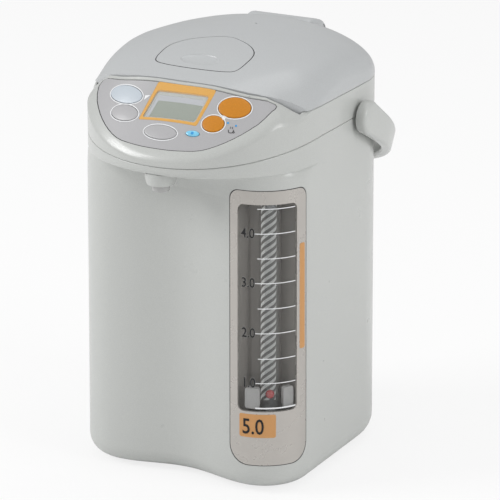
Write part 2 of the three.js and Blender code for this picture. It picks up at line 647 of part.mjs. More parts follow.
// Moves an outline outwards by a distance, each point along the mean normal of its two sides.
function offset(points, grow) {
  const area = points.reduce((sum, [x, y], i) => {
    const [x1, y1] = points[(i + 1) % points.length];
    return sum + x * y1 - x1 * y;
  }, 0);
  const way = Math.sign(area);
  return points.map(([x, y], i) => {
    const before = points[(i + points.length - 1) % points.length];
    const after = points[(i + 1) % points.length];
    const normals = [[x - before[0], y - before[1]], [after[0] - x, after[1] - y]].map(([dx, dy]) => {
      const length = Math.hypot(dx, dy);
      return [(way * dy) / length, (-way * dx) / length];
    });
    const sum = [normals[0][0] + normals[1][0], normals[0][1] + normals[1][1]];
    const share = (2 * grow) / (sum[0] ** 2 + sum[1] ** 2);
    return [x + sum[0] * share, y + sum[1] * share];
  });
}

const deckLayer = (top, low) => cut(deckBlock(top), deckBlock(low, -FAR));
const onDeck = (outline) => prism(outline, 0, FAR);

// The holes of the keys and of the lamp.
const deckHoles = () => [
  ...Object.values(KEYS).map((key) => deckEllipse(key, FIT, DECK_WALL * 2, KEY.depth)),
  deckEllipse(LAMP, GAP, DECK_WALL * 2, KEY.depth, LAMP.sides),
];

const CATCH = {
  halfWidth: 15, lowRise: 5.3, highRise: 10.5,
  get low() { return LID.seam + this.lowRise; },
  get high() { return LID.seam + this.highRise; },
};

function collar() {
  const w = COLLAR.wall;
  const whole = deckBlock(0);
  const ledge = common(whole, lidField(LEDGE.wall, LEDGE.low, LEDGE.top));
  const frontWall = cut(common(whole, lidField(LEDGE.wall, LEDGE.low, FAR)), lidField(0, 0, FAR));
  const neck = turned(tubeProfile(MOUTH.radius, MOUTH.radius + MOUTH.wall, MOUTH.low, LEDGE.low + w), 0, MOUTH.y, 40);
  const overBoard = deckBlock(BOARD.top - GAP, -FAR);
  const posts = BOARD.postShares.map(deckPlace).map(([x, y]) =>
    cut(upright(BOARD.post, x, y, deckZ(x, y) - BOARD.low, deckZ(x, y) - w, 12), overBoard));
  const lidRoom = join(
    lidField(0, COLLAR.top, FAR),
    common(lidField(0, LEDGE.top, FAR), insetPrism(LEDGE.rim, LEDGE.top, FAR)),
  );
  return cut(
    join(cut(whole, deckHollow()), ledge, frontWall, ...posts),
    lidRoom,
    upright(MOUTH.radius, 0, MOUTH.y, MOUTH.low, FAR, 40),
    common(deckLayer(-LAYER_OVER, PANEL.set + PANEL.thick), onDeck(panelOutline(GAP))),
    onDeck(offset(windowOutline, -DISPLAY.lip)),
    ...deckHoles(),
    pivotHole(BAIL.pin + GAP),
    block(-CATCH.halfWidth, CATCH.halfWidth, LID.frontY - LEDGE.wall - OVER, LID.frontY + OVER, CATCH.low, CATCH.high),
  ).add(neck);
}

const sheetLayer = () => deckLayer(PANEL.set, PANEL.set + PANEL.thick - GAP);

const controlPanel = () =>
  cut(common(sheetLayer(), onDeck(panelOutline(0))), onDeck(offset(displayOutline, GAP)), ...deckHoles());

const displayFrame = () =>
  cut(common(sheetLayer(), onDeck(displayOutline)), onDeck(windowOutline));
const displayWindow = () =>
  common(sheetLayer(), onDeck(offset(windowOutline, -GAP)));
const displayModule = () =>
  cut(common(deckLayer(DISPLAY.moduleTop, DISPLAY.moduleLow), onDeck(offset(windowOutline, -GAP))), ...deckHoles());
const controlBoard = () =>
  common(deckLayer(BOARD.top, BOARD.low), onDeck(boardOutline));

// Lid

const domeCrown = (y) => LID.top - LID.fall * (Math.abs(y - LID.topY) / (LID.topY - LID.frontY)) ** LID.fallPower;

// Height of the lid's centre line, which falls to the seam at the rear.
function crownZ(y) {
  const fallY = LID.endY - LID.rearFall;
  if (y < fallY) return domeCrown(y);
  const share = Math.min(1, (y - fallY) / LID.rearFall);
  return LID.seam + (domeCrown(fallY) - LID.seam) * (1 - share ** LID.rearPower);
}

function halfWidthAt(y) {
  if (y <= BEAK.startY) {
    const ahead = (BEAK.startY - y) / BEAK.reach;
    return BEAK.halfWidth * (1 - ahead ** BEAK.power) ** (1 / BEAK.power);
  }
  if (y <= REAR_CENTRE_Y) return BEAK.halfWidth;
  return BEAK.halfWidth - REAR.corner + Math.sqrt(Math.max(0, REAR.corner ** 2 - (y - REAR_CENTRE_Y) ** 2));
}

function domeZ(x, y, inset, drop) {
  const across = Math.min(1, Math.abs(x) / (halfWidthAt(y) - inset));
  const behind = Math.min(1, Math.max(0, (y - lidFrontY(x)) / DOME.blend));
  const back = Math.min(1, Math.max(0, y / LID.endY));
  const [power, round] = [DOME.powers, DOME.rounds].map(([front, mid, rear]) =>
    front + (mid - front) * behind + (rear - mid) * back);
  return LID.seam + (crownZ(y) - drop - LID.seam) * (1 - across ** power) ** (1 / round);
}

// The solid under the lid's dome, made smaller by inset and its top lowered by drop.
function domeBlock(inset, drop, low) {
  const [across, along] = [12, 15];
  const [y0, y1] = [LID.frontY - LID.wall, LID.endY - inset];
  const rings = [];
  for (let i = 0; i <= along; i++) {
    const y = y0 + (y1 - y0) * Math.sin((QUARTER * i) / along);
    const half = halfWidthAt(y) - inset;
    const ring = [[half, y, low]];
    for (let j = 0; j <= across; j++) {
      const x = half * Math.cos((Math.PI * j) / across);
      ring.push([x, y, domeZ(x, y, inset, drop)]);
    }
    ring.push([-half, y, low]);
    rings.push(ring);
  }
  return loft(rings);
}

// The space behind the lid's front face, which leans back towards its foot.
function leaningField(set, z0, z1) {
  const at = (z) => {
    const back = set + LID.taper * (LID.crease - z);
    return [...lidFront(-back), [FAR / 2, FAR], [-FAR / 2, FAR]].map(([x, y]) => [x, y, z]);
  };
  return loft([at(z0), at(z1)]);
}

const HINGE = {
  behind: 13, rise: 22.7, pin: 2.5, pinHalf: 28.8, blockHalf: 24, postHalf: 4, footBack: 8.5, footDrop: 9,
  coverHalf: 29.2, coverAhead: 26, cavityHalf: 26, cavityAhead: 11, clear: 0.5,
  get y() { return POT.depth - this.behind; },
  get z() { return LID.seam + this.rise; },
  get riseRadius() { return this.z - COLLAR.top - this.clear; },
};
// Side profiles of the hinge's cover and of the space in it, from the hinge pin.
const HINGE_COVER = {
  outer: [[-26, -20], [-26, 7], [-23, 10.4], [-17, 11.2], [-10.5, 10], [0, 6.4], [5, 2], [10, -7], [10.6, -18.6], [0, -22.2]],
  cavity: [[-23.6, -FAR / 2], [FAR, -FAR / 2], [FAR, 4.4], [0, 4.4], [-5, 6.4], [-11, 7.8], [-17, 8.6], [-23.6, 8]],
};
const LEVER = {
  outline: [
    [0, 26.2], [5.5, 25.8], [19.5, 18.2], [28.6, 11], [35, 2.6], [37.4, -6.4], [37.4, -15.9], [37, -24],
    [34.7, -30.3], [26, -32.8], [14, -33.8], [0, -34.1],
  ],
  gap: 0.8, thick: 3, pocket: 11.5, tubWall: 1.8, tubFloor: 2, behind: 50, down: 8.8, pin: 1.5, pinHalf: 38.2,
  ear: 2.7, earTall: 8.1, earFrom: 26, earTo: 30, scoopAhead: 21, scoopX: 17, scoopAlong: 8, scoopDeep: 1.8, scoopTilt: 0.24,
  get pivotY() { return LID.frontY + this.behind; },
  get pivotZ() { return crownZ(this.pivotY) - this.down; },
};
const LATCH = {
  halfWidth: 14, lowRise: 6.3, thick: 3, tip: 1.4, back: 34, rail: 2.4, railRise: 4.7, railTall: 18, railAhead: 8, railBehind: 32,
  get low() { return LID.seam + this.lowRise; },
  get high() { return this.low + this.thick; },
  get tipY() { return LID.frontY + this.tip; },
  get backY() { return LID.frontY + this.back; },
  get railLow() { return LID.seam + this.railRise; },
  get railFront() { return LID.frontY + this.railAhead; },
  get railBack() { return LID.frontY + this.railBehind; },
};
const VENT = { y: 29.6, radius: 1.5, duct: 5, ductBore: 3 };

function leverOutline(grow) {
  const right = LEVER.outline.map(([x, y]) => [x, LEVER.pivotY + y]);
  const left = right.slice(1, -1).reverse().map(([x, y]) => [-x, y]);
  return offset([...right, ...left], grow);
}

// Cuts away the rear of the lid's foot, so that it clears the shoulder while the lid swings.
function hingeSweep() {
  const points = [[HINGE.y, 0], [FAR, 0]];
  const steps = 6;
  const widest = POT.depth - HINGE.y + OVER;
  for (let i = steps; i >= 0; i--) {
    const back = (widest * i) / steps;
    points.push([HINGE.y + back, HINGE.z - Math.sqrt(Math.max(0, HINGE.riseRadius ** 2 - back ** 2))]);
  }
  return sideways(points, -FAR, FAR);
}

const leverBar = (radius, half) =>
  rod(radius, [-half, LEVER.pivotY, LEVER.pivotZ], [half, LEVER.pivotY, LEVER.pivotZ], 12);
const hingeBar = (radius, half) =>
  rod(radius, [-half, HINGE.y, HINGE.z], [half, HINGE.y, HINGE.z], 16);

function lidShell() {
  const dome = domeBlock(0, 0, LID.skirtLow);
  const field = leaningField(FIT, 0, FAR);
  const upper = common(dome, block(-FAR, FAR, -FAR, FAR, LID.seam, FAR), field);
  const skirt = common(
    dome, field,
    insetPrism(LID.skirtOut, LID.skirtLow, LID.seam + LID.wall),
    block(-FAR, FAR, -FAR, LID.skirtBackY, 0, FAR));
  const hollow = common(domeBlock(LID.skirtIn, LID.wall, 0), leaningField(FIT + LID.wall, -FAR, FAR));
  const tub = cut(
    common(dome, prism(leverOutline(LEVER.gap + LEVER.tubWall), 0, FAR)),
    domeBlock(0, LEVER.pocket + LEVER.tubFloor, 0));
  const pocket = cut(prism(leverOutline(LEVER.gap), 0, FAR), domeBlock(0, LEVER.pocket, 0));
  const rails = [-1, 1].map((side) => {
    const [a, b] = [LATCH.halfWidth + GAP, LATCH.halfWidth + GAP + LATCH.rail].map((x) => x * side).sort((p, q) => p - q);
    const rail = block(a, b, LATCH.railFront, LATCH.railBack, LATCH.railLow, LATCH.railLow + LATCH.railTall);
    return common(cut(rail, domeBlock(0, LEVER.pocket + OVER, 0)), domeBlock(0, LID.wall / 2, 0));
  });
  return cut(
    join(cut(join(upper, skirt), hollow), tub, ...rails),
    pocket,
    leverBar(LEVER.pin + GAP, LEVER.pinHalf + GAP),
    hingeSweep(),
    block(-HINGE.coverHalf - GAP, HINGE.coverHalf + GAP, HINGE.y - HINGE.coverAhead - GAP, FAR, 0, FAR),
    block(-LATCH.halfWidth - GAP, LATCH.halfWidth + GAP, -FAR, LATCH.railFront, LATCH.low - GAP, LATCH.high + GAP),
    upright(VENT.radius, 0, VENT.y, LID.seam, FAR, 10),
  );
}

function hingeCover() {
  const [outer, cavity] = [HINGE_COVER.outer, HINGE_COVER.cavity].map((points) =>
    points.map(([y, z]) => [HINGE.y + y, HINGE.z + z]));
  const roof = common(
    domeBlock(0, 0, HINGE.z),
    block(-HINGE.coverHalf, HINGE.coverHalf, HINGE.y - HINGE.coverAhead, HINGE.y, HINGE.z, FAR));
  return cut(
    join(sideways(outer, -HINGE.coverHalf, HINGE.coverHalf), roof),
    sideways(cavity, -HINGE.cavityHalf, HINGE.cavityHalf),
    hingeSweep(),
    hingeBar(HINGE.pin + GAP, FAR),
  );
}

function hingeBlock() {
  const arc = [];
  const steps = 6;
  for (let i = 0; i <= steps; i++) {
    const angle = (Math.PI * i) / steps;
    arc.push([HINGE.y + HINGE.postHalf * Math.cos(angle), HINGE.z + HINGE.postHalf * Math.sin(angle)]);
  }
  const [foot, footTop] = [LEDGE.top + GAP, HINGE.z - HINGE.footDrop];
  const [front, back, rear] = [-HINGE.postHalf, HINGE.postHalf, HINGE.footBack].map((y) => HINGE.y + y);
  const profile = [[front, foot], [rear, foot], [rear, footTop], [back, footTop], ...arc];
  return cut(sideways(profile, -HINGE.blockHalf, HINGE.blockHalf), hingeBar(HINGE.pin + GAP, FAR));
}

const hingePin = () => hingeBar(HINGE.pin, HINGE.pinHalf);

const COVER = {
  lowDown: 4.4, highUp: 0.1, inset: 6.2,
  get low() { return COLLAR.top - this.lowDown; },
  get high() { return COLLAR.top + this.highUp; },
};
const PLUG = {
  narrower: 6, wall: 2, lowDown: 15.9, sealIn: 2, sealLowDown: 9.9, sealHighDown: 7.3,
  get radius() { return MOUTH.radius - this.narrower; },
  get low() { return COLLAR.top - this.lowDown; },
  get sealOut() { return MOUTH.radius - this.sealIn; },
  get sealLow() { return COLLAR.top - this.sealLowDown; },
  get sealHigh() { return COLLAR.top - this.sealHighDown; },
};

function lidInnerCover() {
  const plate = common(
    insetPrism(COVER.inset, COVER.low, COVER.high),
    leaningField(FIT + LID.wall + GAP, 0, FAR));
  return cut(
    plate,
    block(-HINGE.coverHalf - OVER, HINGE.coverHalf + OVER, HINGE.y - HINGE.cavityAhead, FAR, 0, FAR),
    upright(VENT.ductBore, 0, VENT.y, 0, FAR, 12));
}

function innerLid() {
  const { radius: r, low, wall } = PLUG;
  const top = COVER.low - GAP;
  const dish = turned([[0, low], [r, low], [r, top], [r - wall, top], [r - wall, low + wall], [0, low + wall]], 0, MOUTH.y, 32);
  const tower = upright(VENT.duct, 0, VENT.y, low, top, 16);
  return cut(join(dish, tower), upright(VENT.ductBore, 0, VENT.y, 0, FAR, 12));
}

const innerLidGasket = () =>
  turned(tubeProfile(PLUG.radius + GAP, PLUG.sealOut, PLUG.sealLow, PLUG.sealHigh), 0, MOUTH.y, 32);

function steamDuct() {
  const top = crownZ(VENT.y) - LID.wall - 2 * GAP;
  return turned(tubeProfile(VENT.ductBore, VENT.duct, COVER.high + GAP, top), 0, VENT.y, 16);
}

function lidLever() {
  const plate = cut(
    common(domeBlock(0, 0, 0), prism(leverOutline(0), 0, FAR)),
    domeBlock(0, LEVER.thick, -FAR));
  const ears = [-1, 1].map((side) => {
    const [a, b] = [LEVER.earFrom, LEVER.earTo].map((x) => x * side).sort((p, q) => p - q);
    const { pivotY: y, pivotZ: z, ear } = LEVER;
    const up = block(a, b, y - ear, y + ear, z, z + LEVER.earTall);
    return common(join(rod(ear, [a, y, z], [b, y, z], 16), up), domeBlock(0, OVER, 0));
  });
  const scoopY = LEVER.pivotY - LEVER.scoopAhead;
  const scoop = solidOf(new THREE.SphereGeometry(1, 16, 10)
    .scale(LEVER.scoopX, LEVER.scoopAlong, LEVER.scoopDeep)
    .rotateX(LEVER.scoopTilt).translate(0, scoopY, crownZ(scoopY)));
  return cut(
    join(plate, ...ears), scoop,
    leverBar(LEVER.pin + GAP, FAR));
}

const leverPin = () => leverBar(LEVER.pin, LEVER.pinHalf);

const latch = () =>
  block(-LATCH.halfWidth, LATCH.halfWidth, LATCH.tipY, LATCH.backY, LATCH.low, LATCH.high);

// Bail

function bailHandle() {
  const { x, corner, reach, thick, tall, gripTall, taper, bevel, rest } = BAIL;
  const [straight, inside] = [reach - corner, x - corner];
  const path = [[x, 0, 1, 0], [x, straight, 1, 0]];
  const steps = 9;
  for (let i = 1; i <= steps; i++) {
    const angle = (QUARTER * i) / steps;
    path.push([inside + corner * Math.cos(angle), straight + corner * Math.sin(angle), Math.cos(angle), Math.sin(angle)]);
  }
  const whole = [...path, ...path.map(([px, u, nx, nu]) => [-px, u, -nx, nu]).reverse()];
  const world = (px, u, w) => [
    px,
    BAIL.y + u * Math.cos(rest) + w * Math.sin(rest),
    BAIL.z - u * Math.sin(rest) + w * Math.cos(rest),
  ];
  const t = thick / 2;
  const sectionAt = (u) => {
    const h = (tall + (gripTall - tall) * Math.min(1, u / taper)) / 2;
    const half = [[t, bevel - h], [t, h - bevel], [t - bevel, h], [bevel - t, h]];
    return [...half, ...half.map(([n, w]) => [-n, -w])];
  };
  const band = loft(whole.map(([px, u, nx, nu]) => sectionAt(u).map(([n, w]) => world(px + nx * n, u + nu * n, w))));
  const ends = [-1, 1].map((side) =>
    rod(tall / 2, [side * (x - t), BAIL.y, BAIL.z], [side * (x + t), BAIL.y, BAIL.z], 32));
  const holes = [-1, 1].map((side) =>
    rod(BAIL.pin + GAP, [side * BAIL.headIn, BAIL.y, BAIL.z], [side * BAIL.holeEnd, BAIL.y, BAIL.z], 20));
  return cut(join(band, ...ends), ...holes);
}

function bailPin(side) {
  const bar = (radius, x0, x1, sides) => rod(radius, [side * x0, BAIL.y, BAIL.z], [side * x1, BAIL.y, BAIL.z], sides);
  return join(bar(BAIL.pinHead, BAIL.headIn, BAIL.headOut, 24), bar(BAIL.pin, BAIL.headIn + OVER, BAIL.pinOut, 20));
}

// Container and pump

function container() {
  const { radius: r, wall, floor, foot, shoulder, top, neck, bend, bendDrop, brim, step } = BIN;
  const low = floor - wall;
  const profile = [
    [0, floor], [r - foot, floor], [r, floor + foot], [r, shoulder],
    [r - bend, top - wall - bendDrop], [r - brim, top - wall], [neck, top - wall], [neck, top],
    [r - brim + step, top], [r - bend + step, top - bendDrop], [r + wall, shoulder], [r + wall, floor + foot],
    [r - foot, low], [0, low],
  ];
  return cut(turned(profile, 0, MOUTH.y, 40), upright(PUMP.inlet, PUMP.x, PUMP.y, 0, floor + wall, 12));
}

const PUMP = {
  x: 24, y: -42, radius: 16, wall: 2, low: 20, high: 35.7, inlet: 3, inletOut: 5, port: 2.8, portZ: 27,
  motor: 14, motorLow: 7, shaft: 1.5, shaftLow: 12, wheel: 11.5, wheelLow: 24, wheelHigh: 25.6, blades: 6, bladeHigh: 30,
};

const containerGasket = () =>
  turned(tubeProfile(BIN.neck, BIN.gasketOut, BIN.top + GAP, MOUTH.low - GAP), 0, MOUTH.y, 32);

const HEATER = { radius: 36, low: 45, lugX: 18, lugY: 14, lugLow: 39, lug: 2.5 };

function heaterPlate() {
  const top = BIN.floor - BIN.wall - GAP;
  const plate = upright(HEATER.radius, 0, MOUTH.y, HEATER.low, top, 40);
  const lugs = [-1, 1].map((side) => upright(HEATER.lug, side * HEATER.lugX, HEATER.lugY, HEATER.lugLow, HEATER.low + OVER, 10));
  return join(plate, ...lugs);
}

const SENSOR = { radius: 5, low: 38, y: 4.5 };
const temperatureSensor = () => upright(SENSOR.radius, 0, SENSOR.y, SENSOR.low, HEATER.low - GAP, 16);

function pumpHousing() {
  const { x, y, radius, wall, low, high } = PUMP;
  const port = [x + radius * 2 * PORT_WAY[0], y + radius * 2 * PORT_WAY[1], PUMP.portZ];
  return cut(
    upright(radius, x, y, low, high, 28),
    upright(radius - wall, x, y, low + wall, high - wall, 28),
    upright(PUMP.inlet, x, y, high - wall - OVER, high + OVER, 12),
    upright(PUMP.shaft + GAP, x, y, low - OVER, low + wall + OVER, 12),
    rod(PUMP.port, [x, y, PUMP.portZ], port, 12));
}

const PORT_WAY = (() => {
  const way = [TUBE_X - PUMP.x, TUBE_Y - PUMP.y];
  const length = Math.hypot(...way);
  return way.map((v) => v / length);
})();

function impeller() {
  const { x, y, wheel, wheelLow, wheelHigh, blades, bladeHigh, shaft, shaftLow } = PUMP;
  const disc = upright(wheel, x, y, wheelLow, wheelHigh, 24);
  const hub = upright(shaft, x, y, shaftLow, bladeHigh, 12);
  const vanes = Array.from({ length: blades }, (_, i) =>
    block(shaft / 2, wheel - OVER, -shaft / 3, shaft / 3, wheelLow + OVER / 2, bladeHigh)
      .rotate([0, 0, (360 * i) / blades]).translate([x, y, 0]));
  return join(disc, hub, ...vanes);
}

const pumpMotor = () =>
  cut(
    upright(PUMP.motor, PUMP.x, PUMP.y, PUMP.motorLow, PUMP.low - GAP, 24),
    upright(PUMP.shaft + GAP, PUMP.x, PUMP.y, PUMP.shaftLow - GAP, PUMP.low, 12));

const inletHose = () =>
  turned(tubeProfile(PUMP.inlet, PUMP.inletOut, PUMP.high + GAP, BIN.floor - BIN.wall - GAP), PUMP.x, PUMP.y, 16);

const HOSE = {
  outer: 4.4, inner: 2.4, lead: 12, bend: 18, near: 5, sag: 2, lift: 1.5,
  up: 4, turn: 8, turnAhead: 1, turnDown: 2, run: 26, runAhead: 4, midBack: 8, midAhead: 2, end: 6,
};

function deliveryHose() {
  const start = PUMP.radius + GAP;
  const at = (distance, z) => [PUMP.x + PORT_WAY[0] * distance, PUMP.y + PORT_WAY[1] * distance, z];
  const run = Math.hypot(TUBE_X - PUMP.x, TUBE_Y - PUMP.y);
  const z = PUMP.portZ;
  return hose([
    at(start, z), at(start + HOSE.lead, z), at(run - HOSE.bend, z - HOSE.sag), at(run - HOSE.near, z + HOSE.lift),
    at(run, FITTING.low - HOSE.near), at(run, FITTING.low - GAP),
  ], HOSE.outer, HOSE.inner);
}

const VALVE = {
  radius: 9, tall: 18, bore: 5, down: 17.8, portDown: 10.8, hoseDown: 5.8,
  get y() { return -POT.depth; },
  get low() { return POT.seam - this.down; },
  get high() { return this.low + this.tall; },
  get portZ() { return POT.seam - this.portDown; },
  get hoseZ() { return POT.seam - this.hoseDown; },
};

const spoutHose = () =>
  hose([
    [TUBE_X, TUBE_Y, FITTING.high + GAP], [TUBE_X, TUBE_Y, FITTING.high + HOSE.up],
    [TUBE_X - HOSE.turn, TUBE_Y - HOSE.turnAhead, VALVE.hoseZ - HOSE.turnDown],
    [TUBE_X - HOSE.run, TUBE_Y - HOSE.runAhead, VALVE.hoseZ],
    [TUBE_X / 2 - HOSE.midBack, VALVE.y - HOSE.midAhead, VALVE.hoseZ],
    [VALVE.radius + HOSE.end, VALVE.y, VALVE.hoseZ], [VALVE.radius + GAP, VALVE.y, VALVE.hoseZ],
  ], HOSE.outer, HOSE.inner, 14);

function tiltValve() {
  const { y, radius, low, high, bore } = VALVE;
  return cut(
    upright(radius, 0, y, low, high, 24),
    upright(bore, 0, y, low + POT.wall, high - POT.wall, 16),
    rod(HOSE.inner, [0, y, VALVE.hoseZ], [radius * 2, y, VALVE.hoseZ], 10),
    rod(HOSE.inner, [0, y, VALVE.portZ], [0, y - radius * 2, VALVE.portZ], 10));
}

function spoutNozzle() {
  const { y, nozzle, nozzleLow, bore } = SPOUT;
  const armEnd = VALVE.y - VALVE.radius - GAP;
  const top = VALVE.portZ + HOSE.outer;
  return cut(
    join(
      upright(nozzle, 0, y, nozzleLow, top, 24),
      rod(HOSE.outer, [0, y, VALVE.portZ], [0, armEnd, VALVE.portZ], 16)),
    upright(bore, 0, y, 0, VALVE.portZ + HOSE.inner, 16),
    rod(HOSE.inner, [0, y, VALVE.portZ], [0, 0, VALVE.portZ], 10));
}

function spoutCover() {
  const { y, stem, cupTop, cupLow, cupDown, low, nozzle } = SPOUT;
  const cupHigh = POT.seam - BEAK.dip - cupDown;
  const cup = turned([[0, low], [cupLow, low], [cupTop, cupHigh], [0, cupHigh]], 0, y, 28);
  const trimmed = cut(cup, casingBlock().translate([0, 0, -GAP]));
  const stemTop = VALVE.portZ - HOSE.outer - OVER;
  return cut(
    join(trimmed, upright(stem, 0, y, low + POT.wall, stemTop, 24)),
    upright(nozzle + GAP, 0, y, 0, FAR, 24));
}

// Base

const SWIVEL = {
  radius: 70, low: 1.5, high: 3, boss: 20, hub: 12, hubHigh: 6.4, keeper: 18, keeperLow: 6.7, keeperHigh: 8.4,
  bore: 2.6, screw: 2.3, screwLow: 2.4, headHigh: 10.6, head: 5, footIn: 58, footOut: 66, footHigh: 1.2,
};

function swivelBase() {
  return cut(
    join(
      upright(SWIVEL.radius, 0, 0, SWIVEL.low, SWIVEL.high, 40),
      upright(SWIVEL.boss, 0, 0, 0, SWIVEL.high, 24),
      upright(SWIVEL.hub, 0, 0, SWIVEL.low, SWIVEL.hubHigh, 24)),
    upright(SWIVEL.bore, 0, 0, SWIVEL.screwLow - GAP, FAR, 12));
}

const swivelFootRing = () =>
  turned(tubeProfile(SWIVEL.footIn, SWIVEL.footOut, 0, SWIVEL.footHigh), 0, 0, 36);
const swivelScrew = () =>
  join(
    upright(SWIVEL.keeper, 0, 0, SWIVEL.keeperLow, SWIVEL.keeperHigh, 24),
    upright(SWIVEL.head, 0, 0, SWIVEL.keeperLow, SWIVEL.headHigh, 16),
    upright(SWIVEL.screw, 0, 0, SWIVEL.screwLow, SWIVEL.keeperHigh, 12));

const BOARD_ROOM = { halfWidth: 45, frontY: 22, rearY: 72, low: 9, high: 10.6, bossIn: 6 };
const boardBosses = [[-1, 0], [1, 0], [-1, 1], [1, 1]].map(([side, rear]) => [
  side * (BOARD_ROOM.halfWidth - BOARD_ROOM.bossIn),
  rear ? BOARD_ROOM.rearY - BOARD_ROOM.bossIn : BOARD_ROOM.frontY + BOARD_ROOM.bossIn,
]);

function bottomPlate() {
  const plate = prism(outlineOf(casingHalf(PLATE.inset, 0)), PLATE.low, PLATE.high);
  const bosses = boardBosses.map(([x, y]) => upright(PLATE.bossRadius, x, y, PLATE.low, PLATE.bossHigh, 12));
  const holes = bossPlaces.map(({ at }) => upright(SCREW.shank + GAP, ...at, 0, FAR, 12));
  const motorSeat = cut(
    upright(PUMP.motor + GAP + POT.wall, PUMP.x, PUMP.y, PLATE.low, PUMP.motorLow + POT.wall, 28),
    upright(PUMP.motor + GAP, PUMP.x, PUMP.y, PUMP.motorLow - GAP, FAR, 28));
  return cut(join(plate, ...bosses, motorSeat), upright(SWIVEL.hub + GAP, 0, 0, 0, FAR, 24), ...holes);
}

function bottomScrew({ at }) {
  return join(
    upright(SCREW.head, ...at, SCREW.headLow, SCREW.headHigh, 14),
    upright(SCREW.shank, ...at, SCREW.headLow, SCREW.top, 12));
}

const BOARD_PARTS = [
  { acrossShares: [-0.89, -0.4], alongShares: [0.16, 0.6], tall: 13.4 },
  { acrossShares: [-0.22, 0.27], alongShares: [0.12, 0.44], tall: 11.4 },
  { acrossShares: [0.44, 0.8], alongShares: [0.52, 0.88], tall: 17.4 },
  { acrossShares: [-0.27, 0.13], alongShares: [0.6, 0.92], tall: 7.4 },
];

function powerBoard() {
  const { halfWidth, frontY, rearY, low, high } = BOARD_ROOM;
  const parts = BOARD_PARTS.map(({ acrossShares, alongShares, tall }) => {
    const [x0, x1] = acrossShares.map((share) => halfWidth * share);
    const [y0, y1] = alongShares.map((share) => frontY + (rearY - frontY) * share);
    return block(x0, x1, y0, y1, low + OVER / 2, high + tall);
  });
  return join(block(-halfWidth, halfWidth, frontY, rearY, low, high), ...parts);
}

function inletSocket() {
  const { halfWidth, low, high, frontY, rearY, wall, floorY, pinX, pin, pinTip } = SOCKET;
  const contacts = [-1, 1].map((side) => {
    const z = (low + high) / 2;
    return rod(pin, [side * pinX, frontY + OVER, z], [side * pinX, pinTip, z], 12);
  });
  return cut(
    block(-halfWidth, halfWidth, frontY, rearY, low, high),
    block(wall - halfWidth, halfWidth - wall, floorY, FAR, low + wall, high - wall),
  ).add(join(...contacts));
}

// Assembly

const COLOURS = {
  pearl: ["#c9cacb", 0.35, 0.1], lid: ["#c3c6ca", 0.3, 0.1], panel: ["#c3bfd0", 0.3, 0.1], orange: ["#e8782e", 0.4, 0],
  pale: ["#b9cfe6", 0.35, 0], lamp: ["#3f6fd8", 0.3, 0], frame: ["#eda43a", 0.4, 0], glass: ["#8b9a86", 0.1, 0],
  champagne: ["#cfc6b8", 0.35, 0.4], smoke: ["#4a4d52", 0.1, 0], white: ["#e6e6e4", 0.4, 0], clear: ["#dfe6ea", 0.1, 0],
  red: ["#c8202a", 0.4, 0], grey: ["#8b8e92", 0.5, 0], dark: ["#2c2d30", 0.6, 0], steel: ["#b8bbc0", 0.25, 1],
  rubber: ["#3b3b3d", 0.9, 0], board: ["#2f6b46", 0.6, 0], brass: ["#b9964f", 0.3, 1],
};

function mesh(name, colour, solid) {
  const made = solid.getMesh();
  const geometry = new THREE.BufferGeometry();
  const count = made.numProp;
  const position = new Float32Array((made.vertProperties.length / count) * 3);
  for (let i = 0; i * count < made.vertProperties.length; i++)
    for (const axis of [0, 1, 2]) position[i * 3 + axis] = made.vertProperties[i * count + axis];
  geometry.setAttribute("position", new THREE.BufferAttribute(position, 3));
  geometry.setIndex(new THREE.BufferAttribute(new Uint32Array(made.triVerts), 1));
  const [color, roughness, metalness] = COLOURS[colour];
  const out = new THREE.Mesh(geometry, new THREE.MeshStandardMaterial({ color, roughness, metalness }));
  out.name = name;
  return out;
}

function group(name, ...children) {
  const made = new THREE.Group();
  made.name = name;
  made.add(...children);
  return made;
}

const base = group("base_group",
  mesh("swivel_base", "dark", swivelBase()),
  mesh("swivel_foot_ring", "rubber", swivelFootRing()),
  mesh("swivel_screw", "steel", swivelScrew()));

const casing = group("casing_group",
  mesh("body_shell", "pearl", bodyShell()),
  mesh("collar", "pearl", collar()),
  mesh("bottom_plate", "dark", bottomPlate()),
  ...bossPlaces.map((place, i) => mesh(`bottom_screw_${i + 1}`, "steel", bottomScrew(place))),
  mesh("inlet_socket", "dark", inletSocket()),
  mesh("handle_pin_left", "steel", bailPin(-1)),
  mesh("handle_pin_right", "steel", bailPin(1)),
  mesh("hinge_block", "grey", hingeBlock()),
  mesh("hinge_pin", "steel", hingePin()));

const works = group("works_group",
  mesh("inner_container", "steel", container()),
  mesh("container_gasket", "rubber", containerGasket()),
  mesh("heater_plate", "steel", heaterPlate()),
  mesh("temperature_sensor", "white", temperatureSensor()),
  mesh("pump_housing", "white", pumpHousing()),
  mesh("pump_motor", "steel", pumpMotor()),
  mesh("impeller", "white", impeller()),
  mesh("inlet_hose", "clear", inletHose()),
  mesh("delivery_hose", "clear", deliveryHose()),
  mesh("spout_hose", "clear", spoutHose()),
  mesh("tilt_valve", "white", tiltValve()),
  mesh("spout_cover", "pearl", spoutCover()),
  mesh("spout_nozzle", "grey", spoutNozzle()),
  mesh("power_board", "board", powerBoard()));

const controls = group("controls_group",
  mesh("control_panel", "panel", controlPanel()),
  mesh("display_frame", "frame", displayFrame()),
  mesh("display_window", "glass", displayWindow()),
  mesh("display_module", "dark", displayModule()),
  mesh("control_board", "board", controlBoard()),
  mesh("refill_lamp", "lamp", deckEllipse(LAMP, 0, LAMP.depth, LAMP.proud, LAMP.sides)),
  ...Object.entries(KEYS).map(([name, key]) => mesh(name, key.colour, deckEllipse(key, 0, KEY.depth, KEY.proud))));

